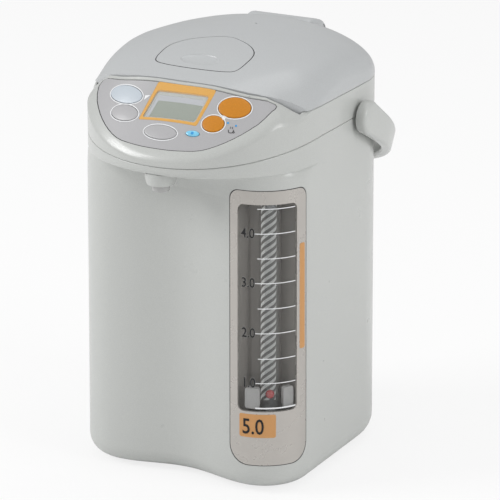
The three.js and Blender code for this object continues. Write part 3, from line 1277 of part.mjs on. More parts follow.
const gauge = group("gauge_group",
  mesh("gauge_panel", "champagne", gaugePanel()),
  mesh("gauge_window", "smoke", gaugeWindow()),
  mesh("gauge_tray", "dark", gaugeTray()),
  mesh("gauge_backplate", "white", gaugeBackplate()),
  mesh("gauge_tube", "clear", gaugeTube()),
  mesh("gauge_fitting_low", "grey", fittingLow()),
  mesh("gauge_fitting_high", "grey", fittingHigh()),
  mesh("gauge_bracket_left", "grey", gaugeBracket(BRACKET.left)),
  mesh("gauge_bracket_right", "grey", gaugeBracket(BRACKET.right)),
  mesh("float_ball", "red", floatBall()));

const lid = group("lid_group",
  mesh("lid_shell", "lid", lidShell()),
  mesh("hinge_cover", "lid", hingeCover()),
  mesh("lid_inner_cover", "white", lidInnerCover()),
  mesh("inner_lid", "steel", innerLid()),
  mesh("inner_lid_gasket", "rubber", innerLidGasket()),
  mesh("steam_duct", "white", steamDuct()),
  mesh("lid_lever", "lid", lidLever()),
  mesh("lever_pin", "steel", leverPin()),
  mesh("latch", "grey", latch()));

const bail = group("bail_group", mesh("bail_handle", "pearl", bailHandle()));

export default group("thermo_pot", base, casing, works, controls, gauge, lid, bail);
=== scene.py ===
import math
from types import SimpleNamespace as Sizes

import bmesh
import bpy
from mathutils import Matrix, Vector
from mathutils.bvhtree import BVHTree
from mathutils.interpolate import poly_3d_calc

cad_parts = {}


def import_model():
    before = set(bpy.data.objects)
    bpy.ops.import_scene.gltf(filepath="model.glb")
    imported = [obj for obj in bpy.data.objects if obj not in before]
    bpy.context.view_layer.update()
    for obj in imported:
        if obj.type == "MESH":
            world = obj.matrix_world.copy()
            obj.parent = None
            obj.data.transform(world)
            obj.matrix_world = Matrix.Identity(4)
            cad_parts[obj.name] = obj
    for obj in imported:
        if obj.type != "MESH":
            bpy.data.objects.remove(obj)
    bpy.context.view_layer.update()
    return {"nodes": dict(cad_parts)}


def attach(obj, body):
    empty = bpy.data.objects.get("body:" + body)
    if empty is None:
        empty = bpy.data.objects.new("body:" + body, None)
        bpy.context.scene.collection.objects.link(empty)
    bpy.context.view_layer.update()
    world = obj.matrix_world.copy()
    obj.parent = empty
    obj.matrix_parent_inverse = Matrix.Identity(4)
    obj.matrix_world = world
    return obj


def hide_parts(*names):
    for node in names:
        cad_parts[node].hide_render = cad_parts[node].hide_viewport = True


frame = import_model()

# An electric thermo pot. Pieces are drawn in millimetres in the frame of the CAD model,
# +Z up and the spout towards -Y, and become metres when they are finished.
MM = 0.001
QUARTER = math.pi / 2
FAR = 400
OVER = 1
GAP = 0.3
FIT = 0.4
# Width, outer reach and depth of the dark rings painted as shade in the gaps round the panel, gauge and
# lever.
LINE, LINE_OUT, LINE_DEPTH = 0.35, 0.24, 0.15

POT = Sizes(seam=281.8, wall=2.4, depth=104, half_width=98, draft=2.2)
SEAM = Sizes(clear=0.4, soft=0.15, round=0.6)
FRONT = Sizes(corner=41, sag=9.6)
REAR = Sizes(corner=71, centre_y=POT.depth - 71)
BEAK = Sizes(half_width=96, start_y=-43, reach=98, power=2.1, dip=12.8, dip_y=-40, dip_power=1.5)
POINTS = Sizes(front=12, corner=12, side=6, rear_corner=12, rear=4)
FOOT = Sizes(inset=12.5, low=3, high=17.5, steps=8, inside=((0.45, 7.5), (0.12, 12)))
WALL_STEPS = 12
FLARE_START = 240
# How far the casing has turned into the beak's outline, by height.
FLARE = [(0.0, 240), (0.03, 250), (0.1, 256), (0.25, 259.5), (0.5, 261), (0.75, 261.3), (0.92, 261.8),
         (0.985, 263.5), (1.0, 266)]
COLLAR = Sizes(top=305.9, wall=2.2, rim_low=284, rim_low_y=-134, rim_slope=0.56, steep_y=-74, flat_y=-60)
DECK = Sizes(wall=4.2, inset=5, insets=(8, 12, 16, 20, 26, 32, 38, 46, 54, 60), steps=8, rim_drop=8,
             rim_belly=10, flat=1.2, flat_drop=0.9, flat_belly=0.2, core=30, halvings=40, slope_step=0.01,
             hollow_drop=9, hollow_insets=(12, 20, 29, 38, 49, 60))
LID = Sizes(seam=306.3, top=342.98, top_y=25, fall=18.2, fall_power=2.84, rear_fall=50.6, rear_power=2.37,
            front_y=-92, corner_x=76, corner_back=12.9, front_power=5, corner_slope=0.65, wall=2.4,
            skirt_low=300.5, skirt_out=3.4, skirt_in=5.8, skirt_back_y=80, taper=0.13, crease=327,
            end_y=103.6)
# The lid's cross-section at its front edge, further back and at its rear end.
DOME = Sizes(powers=(3.7, 2.16, 1.8), rounds=(0.78, 4.16, 1), blend=55)
LEDGE = Sizes(low=297, top=299.4, rim=3, wall=2.4)
MOUTH = Sizes(y=4.5, radius=76, wall=2.4, low=271, sides=96)
CATCH = Sizes(half_width=15, low=311.6, high=316.8)
GAUGE = Sizes(x=55.9, y=FRONT.corner - POT.depth, start=-8.5, end=58, low=24, high=249, low_round=16,
              high_round=8, glass_sunk=0.6, tube_angle=math.radians(37), tube_at=30.4, tube_radius=7,
              tube_bore=4.5, tube_low=62, tube_high=238, tube_sides=48, reach_out=12, reach_in=22)
WINDOW = Sizes(start=-1.5, end=47.6, low=69, high=238, low_round=5, high_round=5)
LAYER = Sizes(low=20, high=262, steps=6)
TUBE_X = GAUGE.x + GAUGE.tube_at * math.sin(GAUGE.tube_angle)
TUBE_Y = GAUGE.y - GAUGE.tube_at * math.cos(GAUGE.tube_angle)
GLASS_FACE = FRONT.corner - GAUGE.glass_sunk
TICK = Sizes(heights=(72.0, 92.7, 112.9, 133.8, 154.1, 174.7, 194.7, 214.7, 234.6), half=0.34, foot_half=0.6,
             whole_start=12.7, half_start=15.0, end=46.4, thick=0.08, step=1.2)
FIGURE = Sizes(size=11.2, start=1.9, drop=3.4, skin=0.05, thick=0.3, edge_grow=0.3, grow=0.1, narrow=0.82,
               marks=(("4.0", 7), ("3.0", 5), ("2.0", 3), ("1.0", 1)))
CAPACITY = Sizes(size=18.0, start=1.8, z=50.6, thick=0.2, grow=0.15)
PLATE = Sizes(proud=0.12, sunk=0.6, round=1.6,
              places={"gauge_plate": (0.3, 29.5, 47.6, 67), "gauge_strip": (50.4, 56.0, 118, 204)})
STRIPES = Sizes(half=6, back=-21.3, face=-22.4, print_face=-22.6, low=72, high=236, pitch=5.9, thick=2.9,
                rise=12, steps=10, least=0.05)
BRACKET = Sizes(face=2.9, back=7, layer_low=60, layer_high=100, low=70.5, high=87.5, round=2, steps=16,
                spans=(("left", (3.6, 16.5)), ("right", (36.9, 46.5))))
BALL = Sizes(radius=3.6, z=80, steps=16, sides=32)

KEYS = {
    "key_boil": Sizes(at=(-43.9, -101.8), across=15.6, along=7.5, body="boil_button", look="pale_blue"),
    "key_timer": Sizes(at=(-38.8, -113.5), across=12.6, along=6.7, body="timer_button", look="panel"),
    "key_keep_warm": Sizes(at=(-1.4, -124.1), across=13.8, along=6.0, body="keep_warm_button", look="panel"),
    "key_unlock": Sizes(at=(38.1, -112.4), across=8.6, along=6.9, body="unlock_button", look="orange"),
    "key_dispense": Sizes(at=(49.6, -99.4), across=12.6, along=8.6, body="dispense_button", look="orange"),
}
KEY = Sizes(proud=0.5, depth=6, hole_depth=8.4, edge_low=0.35, edge_high=0.1, edge_in=0.08, top_in=0.3,
            crown=0.35, crown_shares=(0.9, 0.75, 0.55, 0.35, 0.15), sides=56, ring_gap=0.1, ring_width=0.75)
LAMP = Sizes(at=(25.1, -121.2), across=5.4, along=2.4, core=1.1, core_low=0.4, core_high=0.92,
             core_sides=24)
DOTS = Sizes(places=((48.9, -108.8), (55.5, -108.3)), bore=0.05, width=0.75, high=0.08)
PANEL = Sizes(
    set=0.3, thick=1.7, room=20,
    upper=[(72, -84.2), (65, -88), (53.5, -91.5), (41.5, -93.1), (28.5, -93.6), (10, -93.7)],
    lower=[(9, -134.1), (22, -132.7), (34.5, -130.2), (44.5, -125.4), (55, -117.9), (64, -109.2),
           (72.5, -98.4), (77, -86), (76.3, -81)])
DISPLAY = Sizes(
    frame=[(-19.5, -93.7), (30.8, -93.65), (25.6, -116.2), (-24.2, -117.3)],
    window=[(-17.6, -98.5), (27, -97.6), (23.4, -114.6), (-22, -115.8)],
    screen=[(-14.4, -103.6), (24.6, -102.9), (22, -114.0), (-17.4, -115.1)], lip=1.6,
    frame_round=1.5, window_round=2, screen_round=0.8, pane_fit=0.05, pane_top=0.3, pane_low=0.9,
    bezel_fit=0.4, bezel_top=2.4, bezel_low=3.6, screen_top=2.1, screen_low=2.7)
# What is printed on the deck lies from just inside the plate to just above it.
PRINT_LOW = -PANEL.set * 1.2
PRINT_HIGH = 0.05
ARROW = [(17.6, 3.2), (21.6, 4.6), (18.2, -0.6)]
LINK = Sizes(at=(44.5, -106.6), high=0.03, outline=[(-2.4, -3.4), (0.6, -2.2), (2.6, 2.6), (-0.8, 2.0)])
CUP = Sizes(
    at=(53.2, -112.4), high=0.02,
    wall=[(-2.2, 1.2), (-1.8, 1.2), (-1.5, -0.6), (-0.8, -1.3), (0.8, -1.3), (1.5, -0.6), (1.8, 1.2),
          (2.2, 1.2), (1.9, -0.8), (1.0, -1.7), (-1.0, -1.7), (-1.9, -0.8)],
    ear=(2.2, 0.1), ear_bore=0.5, ear_width=0.35, steam_at=(-0.9, 0.7),
    steam=[(0, 1.9), (0.35, 1.9), (0.6, 2.5), (0.3, 3.1), (0.6, 3.7), (0.25, 3.7), (-0.05, 3.1), (0.25, 2.5)])
SOCKET = Sizes(half_width=17, low=25, high=47, floor_y=87)
SPOUT = Sizes(y=-126, hole=8.4, sides=48, cup_top=13, cup_low=11.2, low=252, nozzle=6.9, nozzle_low=246.6,
              bore=4, nozzle_top=262, bore_edge=0.4, nozzle_edge=0.5, roof=6, top_in=0.3, top_rise=7.5,
              foot_curve=[(-0.9, 0), (-0.25, 0.25), (0, 0.9), (0.5, 2.4), (1.1, 4.8)])
BAIL = Sizes(x=103, y=22, z=281, thick=9, tall=26.5, grip_tall=20, taper=60, round=3.2, corner=92,
             reach=118.9, rest=math.radians(31), pin=5, head_in=89.6, hole_end=104.5, arm_steps=6,
             corner_steps=24, grip_steps=4, end_sides=64, back_edge=[(0, 1.6), (0.4, 0.5), (1.4, 0)],
             face_edge=[(2.6, 0), (1.2, 0.5), (0.3, 1.7), (0, 3)])
HINGE = Sizes(y=91, z=329, pin=2.5, cover_half=29.2, cover_front=65, cavity_half=26, rise_y=91,
              rise_radius=22.6, soft=0.2, edge=[(0, 2.2), (0.5, 0.9), (1.3, 0.25), (2.4, 0)])
HINGE_OUTER = [(65, 309), (65, 336), (68, 339.4), (74, 340.2), (80.5, 339), (91, 335.4), (96, 331),
               (101, 322), (101.6, 310.4), (91, 306.8)]
HINGE_CAVITY = [(67.4, 300), (FAR, 300), (FAR, 333.4), (91, 333.4), (86, 335.4), (80, 336.8), (74, 337.6),
                (67.4, 337)]
LEVER = Sizes(
    outline=[(0, 26.2), (5.5, 25.8), (19.5, 18.2), (28.6, 11), (35, 2.6), (37.4, -6.4), (37.4, -15.9),
             (37, -24), (34.7, -30.3), (26, -32.8), (14, -33.8), (0, -34.1)],
    rounds=3, gap=0.8, pocket_gap=0.48, thick=3, pocket=11.5, tub_wall=1.8, tub_floor=2, pivot_y=-42)
SCOOP = Sizes(y=-63, across=17, along=8, deep=1.8, tilt=0.24, steps=14, sides=56)
LATCH = Sizes(half_width=14, low=312.6, high=315.6, rail_front=-84)
VENT = Sizes(y=29.6, radius=1.05, sides=24)
CAMERA = Sizes(azimuth=28.086, elevation=18.69, distance=2.468, height=0.150, sensor=36, lens=219.81,
               shift=(0.02263, 0.02654), clip_end=60)
LIGHTS = {"key": ((-2.3, -1.6, 2.0), (1.4, 1.4), 52), "fill": ((2.7, -0.2, 1.4), (1.2, 1.6), 26),
          "top": ((0.2, 0.4, 2.8), (2.2, 2.2), 16)}
LIGHTS_AIM = (0, 0, 0.18)
WORLD_LEVEL = 0.46
FLOOR = Sizes(half=9, colour=(0.92, 0.92, 0.92), roughness=0.9, white_share=0.8)


# Outlines. Each half runs from the front centre to the rear centre with the same number of points.

def rear_half(inset, half_width, from_y):
    corner_x = half_width - REAR.corner
    radius = REAR.corner - inset
    points = []
    for i in range(POINTS.side):
        points.append((half_width - inset, from_y + (REAR.centre_y - from_y) * i / POINTS.side))
    for i in range(POINTS.rear_corner):
        angle = QUARTER * i / POINTS.rear_corner
        points.append((corner_x + radius * math.cos(angle), REAR.centre_y + radius * math.sin(angle)))
    for i in range(POINTS.rear + 1):
        points.append((corner_x * (1 - i / POINTS.rear), POT.depth - inset))
    return points


def casing_half(inset, z):
    half_width = POT.half_width - POT.draft * z / POT.seam
    corner_x = half_width - FRONT.corner
    corner_y = FRONT.corner - POT.depth
    radius = FRONT.corner - inset
    points = []
    for i in range(POINTS.front):
        share = i / POINTS.front
        hollow = FRONT.sag * (1 + math.cos(math.pi * share)) / 2
        points.append((corner_x * share, inset + hollow - POT.depth))
    for i in range(POINTS.corner):
        angle = QUARTER * i / POINTS.corner
        points.append((corner_x + radius * math.sin(angle), corner_y - radius * math.cos(angle)))
    return points + rear_half(inset, half_width, corner_y)


def beak_half(inset):
    count = POINTS.front + POINTS.corner
    points = []
    for i in range(count):
        angle = QUARTER * i / count
        across = math.sin(angle) ** (2 / BEAK.power)
        ahead = math.cos(angle) ** (2 / BEAK.power)
        points.append(((BEAK.half_width - inset) * across, BEAK.start_y - (BEAK.reach - inset) * ahead))
    return points + rear_half(inset, BEAK.half_width, BEAK.start_y)


def mix_halves(a, b, share):
    return [(p[0] + (q[0] - p[0]) * share, p[1] + (q[1] - p[1]) * share) for p, q in zip(a, b)]


def ring_of(half, height):
    """The closed ring of a half outline. height is a number, or a function of y and the index."""
    z_of = height if callable(height) else (lambda y, i: height)
    right = [(x, y, z_of(y, i)) for i, (x, y) in enumerate(half)]
    left = [(-x, y, z) for x, y, z in reversed(right[1:-1])]
    return right + left


def seam_z(y, index=0):
    if y > BEAK.dip_y:
        return POT.seam
    span = BEAK.reach - BEAK.start_y + BEAK.dip_y
    return POT.seam - BEAK.dip * ((BEAK.dip_y - y) / span) ** BEAK.dip_power


def near_seam(lift):
    return lambda y, i: seam_z(y) + lift


def between(p, q, share):
    return tuple((1 - share) * a + share * b for a, b in zip(p, q))


def softened(points, rounds=2):
    """A polyline with its corners cut, its ends kept."""
    for _ in range(rounds):
        out = [points[0]]
        for p, q in zip(points, points[1:]):
            out += [between(p, q, 0.25), between(p, q, 0.75)]
        points = out + [points[-1]]
    return points


def cornered(ring, share=0.25):
    """A closed outline with its corners cut."""
    out = []
    for p, q in zip(ring, ring[1:] + ring[:1]):
        out += [between(p, q, share), between(p, q, 1 - share)]
    return out


def offset(points, grow):
    """An outline moved outwards, each point along the mean normal of its two sides."""
    count = len(points)
    area = sum(p[0] * q[1] - q[0] * p[1] for p, q in zip(points, points[1:] + points[:1]))
    way = 1 if area > 0 else -1
    out = []
    for i, (x, y) in enumerate(points):
        before, after = points[i - 1], points[(i + 1) % count]
        normals = []
        for dx, dy in ((x - before[0], y - before[1]), (after[0] - x, after[1] - y)):
            length = math.hypot(dx, dy) or 1
            normals.append((way * dy / length, -way * dx / length))
        sx, sy = normals[0][0] + normals[1][0], normals[0][1] + normals[1][1]
        share = 2 * grow / (sx * sx + sy * sy)
        out.append((x + sx * share, y + sy * share))
    return out


def rounded(points, radius, steps=5):
    """A polygon with every corner rounded."""
    out = []
    count = len(points)
    for i in range(count):
        p, a, b = Vector(points[i]), Vector(points[i - 1]), Vector(points[(i + 1) % count])
        start = p + (a - p).normalized() * radius
        end = p + (b - p).normalized() * radius
        for k in range(steps + 1):
            t = k / steps
            out.append(tuple(start * (1 - t) ** 2 + p * 2 * t * (1 - t) + end * t ** 2))
    return out


def circle(sides, place):
    """A ring of points, each placed from the cosine and sine of its angle."""
    return [place(math.cos(t), math.sin(t)) for t in (2 * math.pi * j / sides for j in range(sides))]


# Meshes

def placed(name, data):
    made = bpy.data.objects.new(name, data)
    bpy.context.scene.collection.objects.link(made)
    return made


def linked(verts, faces, name="piece"):
    data = bpy.data.meshes.new(name)
    data.from_pydata([tuple(v) for v in verts], [], faces)
    work = bmesh.new()
    work.from_mesh(data)
    bmesh.ops.remove_doubles(work, verts=work.verts, dist=1e-5)
    bmesh.ops.recalc_face_normals(work, faces=work.faces)
    work.to_mesh(data)
    work.free()
    return placed(name, data)


def loft_parts(rings, closed=False, caps=True, open_rows=False):
    count = len(rings[0])
    verts = [tuple(p) for ring in rings for p in ring]
    faces = []
    spans = len(rings) if closed else len(rings) - 1
    for i in range(spans):
        k = (i + 1) % len(rings)
        for j in range(count - open_rows):
            n = (j + 1) % count
            faces.append((i * count + j, i * count + n, k * count + n, k * count + j))
    if caps and not closed:
        for first in (0, (len(rings) - 1) * count):
            ring = verts[first:first + count]
            centre = len(verts)
            verts.append(tuple(sum(p[a] for p in ring) / count for a in range(3)))
            faces += [(centre, first + j, first + (j + 1) % count) for j in range(count)]
    return verts, faces


def loft(rings, closed=False):
    return linked(*loft_parts(rings, closed))


def slab(bottom, top):
    """A solid between two matching outlines."""
    count = len(bottom)
    faces = [tuple(range(count)), tuple(range(count, 2 * count))]
    faces += [(j, (j + 1) % count, count + (j + 1) % count, count + j) for j in range(count)]
    return linked(bottom + top, faces)


def prism(points, z0, z1):
    return slab([(x, y, z0) for x, y in points], [(x, y, z1) for x, y in points])


def sideways(points, half):
    made = prism(points, -half, half)
    made.data.transform(Matrix(((0, 0, 1, 0), (1, 0, 0, 0), (0, 1, 0, 0), (0, 0, 0, 1))))
    return made


def block(x0, x1, y0, y1, z0, z1):
    return prism([(x0, y0), (x1, y0), (x1, y1), (x0, y1)], z0, z1)


def turned(profile, x, y, sides=64):
    """A turned solid about the vertical through (x, y)."""
    return loft([circle(sides, lambda c, s: (x + r * c, y + r * s, z)) for r, z in profile], closed=True)


def rod(radius, start, end, sides=32):
    a, b = Vector(start), Vector(end)
    along = (b - a).normalized()
    side = along.orthogonal().normalized()
    other = along.cross(side)
    return loft([circle(sides, lambda c, s: tuple(centre + side * radius * c + other * radius * s))
                 for centre in (a, b)])


def upright(radius, x, y, z0, z1, sides=32):
    return rod(radius, (x, y, z0), (x, y, z1), sides)


def ellipsoid(at, across, along, tall, steps, sides, tilt=0):
    x, y, z = at
    rings = []
    for i in range(1, steps):
        wide, up = math.sin(math.pi * i / steps), math.cos(math.pi * i / steps)
        rings.append(circle(sides, lambda c, s: (x + across * wide * c, y + along * wide * s,
                                                 z - tall * up + tilt * along * wide * s)))
    return loft(rings)


def evaluated_mesh(made):
    bpy.context.view_layer.update()
    graph = bpy.context.evaluated_depsgraph_get()
    return bpy.data.meshes.new_from_object(made.evaluated_get(graph))


def combined(operation, target, tools):
    """target cut by, joined with or limited to the tools, which are used up."""
    for tool in tools:
        step = target.modifiers.new(operation, "BOOLEAN")
        step.operation = operation
        step.solver = "MANIFOLD"
        step.object = tool
    data = evaluated_mesh(target)
    target.modifiers.clear()
    old = target.data
    target.data = data
    bpy.data.meshes.remove(old)
    for tool in tools:
        data = tool.data
        bpy.data.objects.remove(tool)
        bpy.data.meshes.remove(data)
    return target


def cut(target, *tools):
    return combined("DIFFERENCE", target, tools)


def join(target, *tools):
    return combined("UNION", target, tools)


def common(target, *tools):
    return combined("INTERSECT", target, tools)


# How near a source surface must lie, and how close its direction, to lend a piece its normals.
NORMALS = Sizes(near=0.03, turn=0.75)


class Surface:
    """A smooth source surface, whose normals a cut piece takes back."""

    def __init__(self, verts, faces):
        self.verts = [Vector(v) for v in verts]
        self.faces = faces
        self.normals = [Vector() for _ in self.verts]
        for face in faces:
            corners = [self.verts[i] for i in face]
            area = Vector()
            for p, q in zip(corners, corners[1:] + corners[:1]):
                area += p.cross(q)
            for i in face:
                self.normals[i] += area
        for n in self.normals:
            if n.length:
                n.normalize()
        self.tree = BVHTree.FromPolygons(self.verts, faces)

    def normal_at(self, co, near):
        place, _, index, _ = self.tree.find_nearest(co, near)
        if place is None:
            return None
        face = self.faces[index]
        weights = poly_3d_calc([self.verts[i] for i in face], place)
        total = Vector()
        for w, i in zip(weights, face):
            total += self.normals[i] * w
        return total.normalized() if total.length else None


def surface_of(rings):
    return Surface(*loft_parts(rings, caps=False))


def take_normals(made, surfaces, crease):
    data = made.data
    for poly in data.polygons:
        poly.use_smooth = True
    data.set_sharp_from_angle(angle=math.radians(crease))
    if not surfaces:
        return
    normals = [Vector(n.vector) for n in data.corner_normals]
    for poly in data.polygons:
        for loop in poly.loop_indices:
            co = data.vertices[data.loops[loop].vertex_index].co
            for surface in surfaces:
                found = surface.normal_at(co, NORMALS.near)
                if found is None:
                    continue
                facing = found.dot(poly.normal)
                if abs(facing) > NORMALS.turn:
                    normals[loop] = found if facing > 0 else -found
                    break
    data.normals_split_custom_set([tuple(n) for n in normals])


def finished(made, name, look, *surfaces, body="pot", node=None, crease=34, slot=None):
    """Gives a drawn piece its normals, material, size in metres and its place in the frame.

    It replaces the CAD node that is given, or else the one of its own name, if there is one."""
    take_normals(made, surfaces, crease)
    made.name = name
    made.data.name = name
    made.data.materials.clear()
    made.data.materials.append(MATERIALS[look])
    made.data.transform(Matrix.Scale(MM, 4))
    made.data.update()
    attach(made, body)
    node = node or name
    if node in frame["nodes"]:
        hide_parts(node)


# Materials. Colours are linear.

GRAIN = Sizes(cloud=60, gloss=0.06, relief=0.0002)

def added(tree, kind, **values):
    made = tree.nodes.new("ShaderNode" + kind)
    for name, value in values.items():
        made.inputs[name.replace("_", " ")].default_value = value
    return made


def shader(name, base, roughness, metallic=0.0, coat=0.0, alpha=1.0, emission=0.0):
    made = bpy.data.materials.new(name)
    made.use_nodes = True
    node = made.node_tree.nodes["Principled BSDF"]
    values = {"Base Color": (*base, 1), "Roughness": roughness, "Metallic": metallic, "Coat Weight": coat,
              "Coat Roughness": 0.12, "Alpha": alpha}
    if emission:
        values.update({"Emission Color": (*base, 1), "Emission Strength": emission})
    for socket, value in values.items():
        node.inputs[socket].default_value = value
    return made, node


def noise(tree, scale, detail=3.0, stretch=(1, 1, 1)):
    place = added(tree, "TexCoord")
    mapping = added(tree, "Mapping", Scale=stretch)
    texture = added(tree, "TexNoise", Scale=scale, Detail=detail)
    tree.links.new(place.outputs["Object"], mapping.inputs["Vector"])
    tree.links.new(mapping.outputs["Vector"], texture.inputs["Vector"])
    return texture.outputs["Fac"]


def ramp(tree, source, stops):
    made = added(tree, "ValToRGB")
    for element, (at, colour) in zip(made.color_ramp.elements, stops):
        element.position = at
        element.color = (*colour, 1)
    tree.links.new(source, made.inputs["Fac"])
    return made.outputs["Color"]


def ranged(tree, source, low, high):
    made = added(tree, "MapRange", To_Min=low, To_Max=high)
    tree.links.new(source, made.inputs["Value"])
    return made.outputs["Result"]


def grained(name, base, roughness, spread=0.05, scale=1800, metallic=0.0, coat=0.0, alpha=1.0, bump=0.005,
            stretch=(1, 1, 1), emission=0.0):
    """A moulded or painted surface: fine flakes or grain, slow clouds in the gloss, and a faint bump."""
    made, node = shader(name, base, roughness, metallic, coat, alpha, emission)
    tree = made.node_tree
    darker = tuple(c * (1 - spread) for c in base)
    lighter = tuple(min(1, c * (1 + spread)) for c in base)
    fine = noise(tree, scale, 2.0, stretch)
    tree.links.new(ramp(tree, fine, [(0.3, darker), (0.7, lighter)]), node.inputs["Base Color"])
    slow = noise(tree, GRAIN.cloud)
    low, high = max(0.02, roughness - GRAIN.gloss), min(1, roughness + GRAIN.gloss)
    tree.links.new(ranged(tree, slow, low, high), node.inputs["Roughness"])
    relief = added(tree, "Bump", Strength=bump, Distance=GRAIN.relief)
    tree.links.new(fine, relief.inputs["Height"])
    tree.links.new(relief.outputs["Normal"], node.inputs["Normal"])
    return made


MATERIALS = {
    "pearl": grained("pearl_plastic", (0.535, 0.548, 0.530), 0.30, coat=0.35),
    "lid": grained("lid_plastic", (0.515, 0.530, 0.537), 0.33, coat=0.3),
    "panel": grained("panel_film", (0.445, 0.442, 0.452), 0.36, spread=0.04, coat=0.15),
    "orange": grained("orange_plastic", (0.60, 0.225, 0.008), 0.4, scale=900, coat=0.1),
    "pale_blue": grained("pale_blue_plastic", (0.53, 0.585, 0.64), 0.35, spread=0.03, coat=0.1),
    "white_ink": grained("white_ink", (0.86, 0.87, 0.88), 0.45, spread=0.02),
    "blue_lens": grained("blue_lens", (0.22, 0.62, 0.86), 0.15, spread=0.06, scale=300, coat=0.5),
    "blue_core": grained("blue_lamp_core", (0.05, 0.35, 0.75), 0.2, spread=0.06, scale=300, coat=0.5),
    "amber": grained("amber_plastic", (0.72, 0.385, 0.085), 0.4, coat=0.1),
    "tan": grained("tan_plastic", (0.60, 0.30, 0.105), 0.4, coat=0.1),
    "glass": grained("display_glass", (0.75, 0.78, 0.75), 0.08, spread=0.01, alpha=0.12, coat=0.3),
    "bezel": grained("display_bezel", (0.52, 0.53, 0.58), 0.4, spread=0.02),
    "lcd": grained("display_lcd", (0.30, 0.335, 0.285), 0.25, spread=0.03, scale=400),
    "champagne": grained("champagne_plastic", (0.50, 0.475, 0.445), 0.28, spread=0.02, metallic=0.45,
                         coat=0.3, scale=1600, bump=0.004),
    "smoke": grained("smoke_window", (0.16, 0.16, 0.155), 0.08, spread=0.02, alpha=0.10, coat=0.2),
    "tray": grained("gauge_tray_grey", (0.30, 0.285, 0.265), 0.4),
    "tube": grained("clear_plastic", (0.75, 0.78, 0.78), 0.06, spread=0.01, alpha=0.07, coat=0.3),
    # The white stripes glow a little (emission 0.3): painted light, as they are no lamp.
    "stripe": grained("stripe_white_painted_glow", (0.86, 0.87, 0.85), 0.4, spread=0.02, emission=0.3),
    "dark_ink": grained("dark_ink", (0.006, 0.006, 0.007), 0.6, spread=0.1),
    "red": grained("red_plastic", (0.62, 0.008, 0.012), 0.2, coat=0.4),
    "bracket": grained("grey_plastic", (0.46, 0.46, 0.455), 0.35, spread=0.04),
    "grey": grained("grey_moulding", (0.30, 0.31, 0.32), 0.5),
    "white": grained("white_plastic", (0.72, 0.72, 0.70), 0.45, spread=0.03),
    # Real dark parts, and also the dark rings painted as shade in the gaps round the panel, gauge and lever.
    "dark": grained("dark_plastic", (0.035, 0.035, 0.037), 0.55, spread=0.12),
    "steel": grained("brushed_steel", (0.58, 0.585, 0.59), 0.26, spread=0.06, metallic=1.0,
                     stretch=(1, 1, 0.03), scale=900),
    "rubber": grained("rubber", (0.045, 0.045, 0.045), 0.8, spread=0.15),
    "board": grained("circuit_board", (0.03, 0.15, 0.07), 0.5, spread=0.15, scale=400),
}



# Casing

def casing_rings():
    rings = []
    for i in range(FOOT.steps + 1):
        t = QUARTER * i / FOOT.steps
        z = FOOT.high - (FOOT.high - FOOT.low) * math.cos(t)
        rings.append(ring_of(casing_half(FOOT.inset * (1 - math.sin(t)), z), z))
    for i in range(1, WALL_STEPS):
        z = FOOT.high + (FLARE_START - FOOT.high) * i / WALL_STEPS
        rings.append(ring_of(casing_half(0, z), z))
    for share, z in softened(FLARE):
        rings.append(ring_of(mix_halves(casing_half(0, z), beak_half(0), share), z))
    return rings + [ring_of(beak_half(0), near_seam(-SEAM.round)),
                    ring_of(beak_half(SEAM.soft), near_seam(-SEAM.soft)),
                    ring_of(beak_half(SEAM.round), seam_z)]


def inner_rings():
    w = POT.wall
    rings = [ring_of(casing_half(FOOT.inset + w, FOOT.low), FOOT.low)]
    rings += [ring_of(casing_half(w + FOOT.inset * share, FOOT.high), z) for share, z in FOOT.inside]
    rings.append(ring_of(casing_half(w, FOOT.high), FOOT.high + w))
    rings.append(ring_of(casing_half(w, FLARE_START), FLARE_START))
    for share, z in FLARE[1:]:
        rings.append(ring_of(mix_halves(casing_half(w, z), beak_half(w), share), z + w * min(1, share * 2)))
    rings.append(ring_of(beak_half(w), seam_z))
    return rings


def layer_rings(inset, low=LAYER.low, high=LAYER.high, steps=LAYER.steps):
    heights = [low + (high - low) * i / steps for i in range(steps + 1)]
    return [ring_of(casing_half(inset, z), z) for z in heights]


def wall_layer(outer, inner, *span):
    return loft(layer_rings(outer, *span) + layer_rings(inner, *span)[::-1], closed=True)


def layer_surface(inset):
    return surface_of(layer_rings(inset))


def on_corner(s, radius, z=None):
    """A place along the gauge: s runs round the corner from the end of the flat front.

    With a height, the place follows the casing's own corner, which leans in towards the top."""
    x = GAUGE.x
    if z is not None:
        x = POT.half_width - POT.draft * z / POT.seam - FRONT.corner
    if s < 0:
        return x + s, GAUGE.y - radius
    angle = s / FRONT.corner
    return x + radius * math.sin(angle), GAUGE.y - radius * math.cos(angle)


def corner_region(start, end, low, high, low_round, high_round, steps=40):
    """A rounded rectangle wrapped round the front right corner, thick enough to cut the wall."""
    rings = []
    for k in range(steps + 1):
        share = (1 - math.cos(math.pi * k / steps)) / 2
        s = start + (end - start) * share
        near = min(s - start, end - s)
        z0, z1 = (radius - math.sqrt(max(0, radius ** 2 - max(0, radius - near) ** 2))
                  for radius in (low_round, high_round))
        z0, z1 = low + z0, high - z1
        inner = on_corner(s, FRONT.corner - GAUGE.reach_in)
        outer = on_corner(s, FRONT.corner + GAUGE.reach_out)
        rings.append([(*inner, z0), (*outer, z0), (*outer, z1), (*inner, z1)])
    return loft(rings)


def region(part, grow):
    return corner_region(part.start - grow, part.end + grow, part.low - grow, part.high + grow,
                         part.low_round, part.high_round)


def pivot_hole():
    return rod(BAIL.pin + GAP, (-FAR, BAIL.y, BAIL.z), (FAR, BAIL.y, BAIL.z))


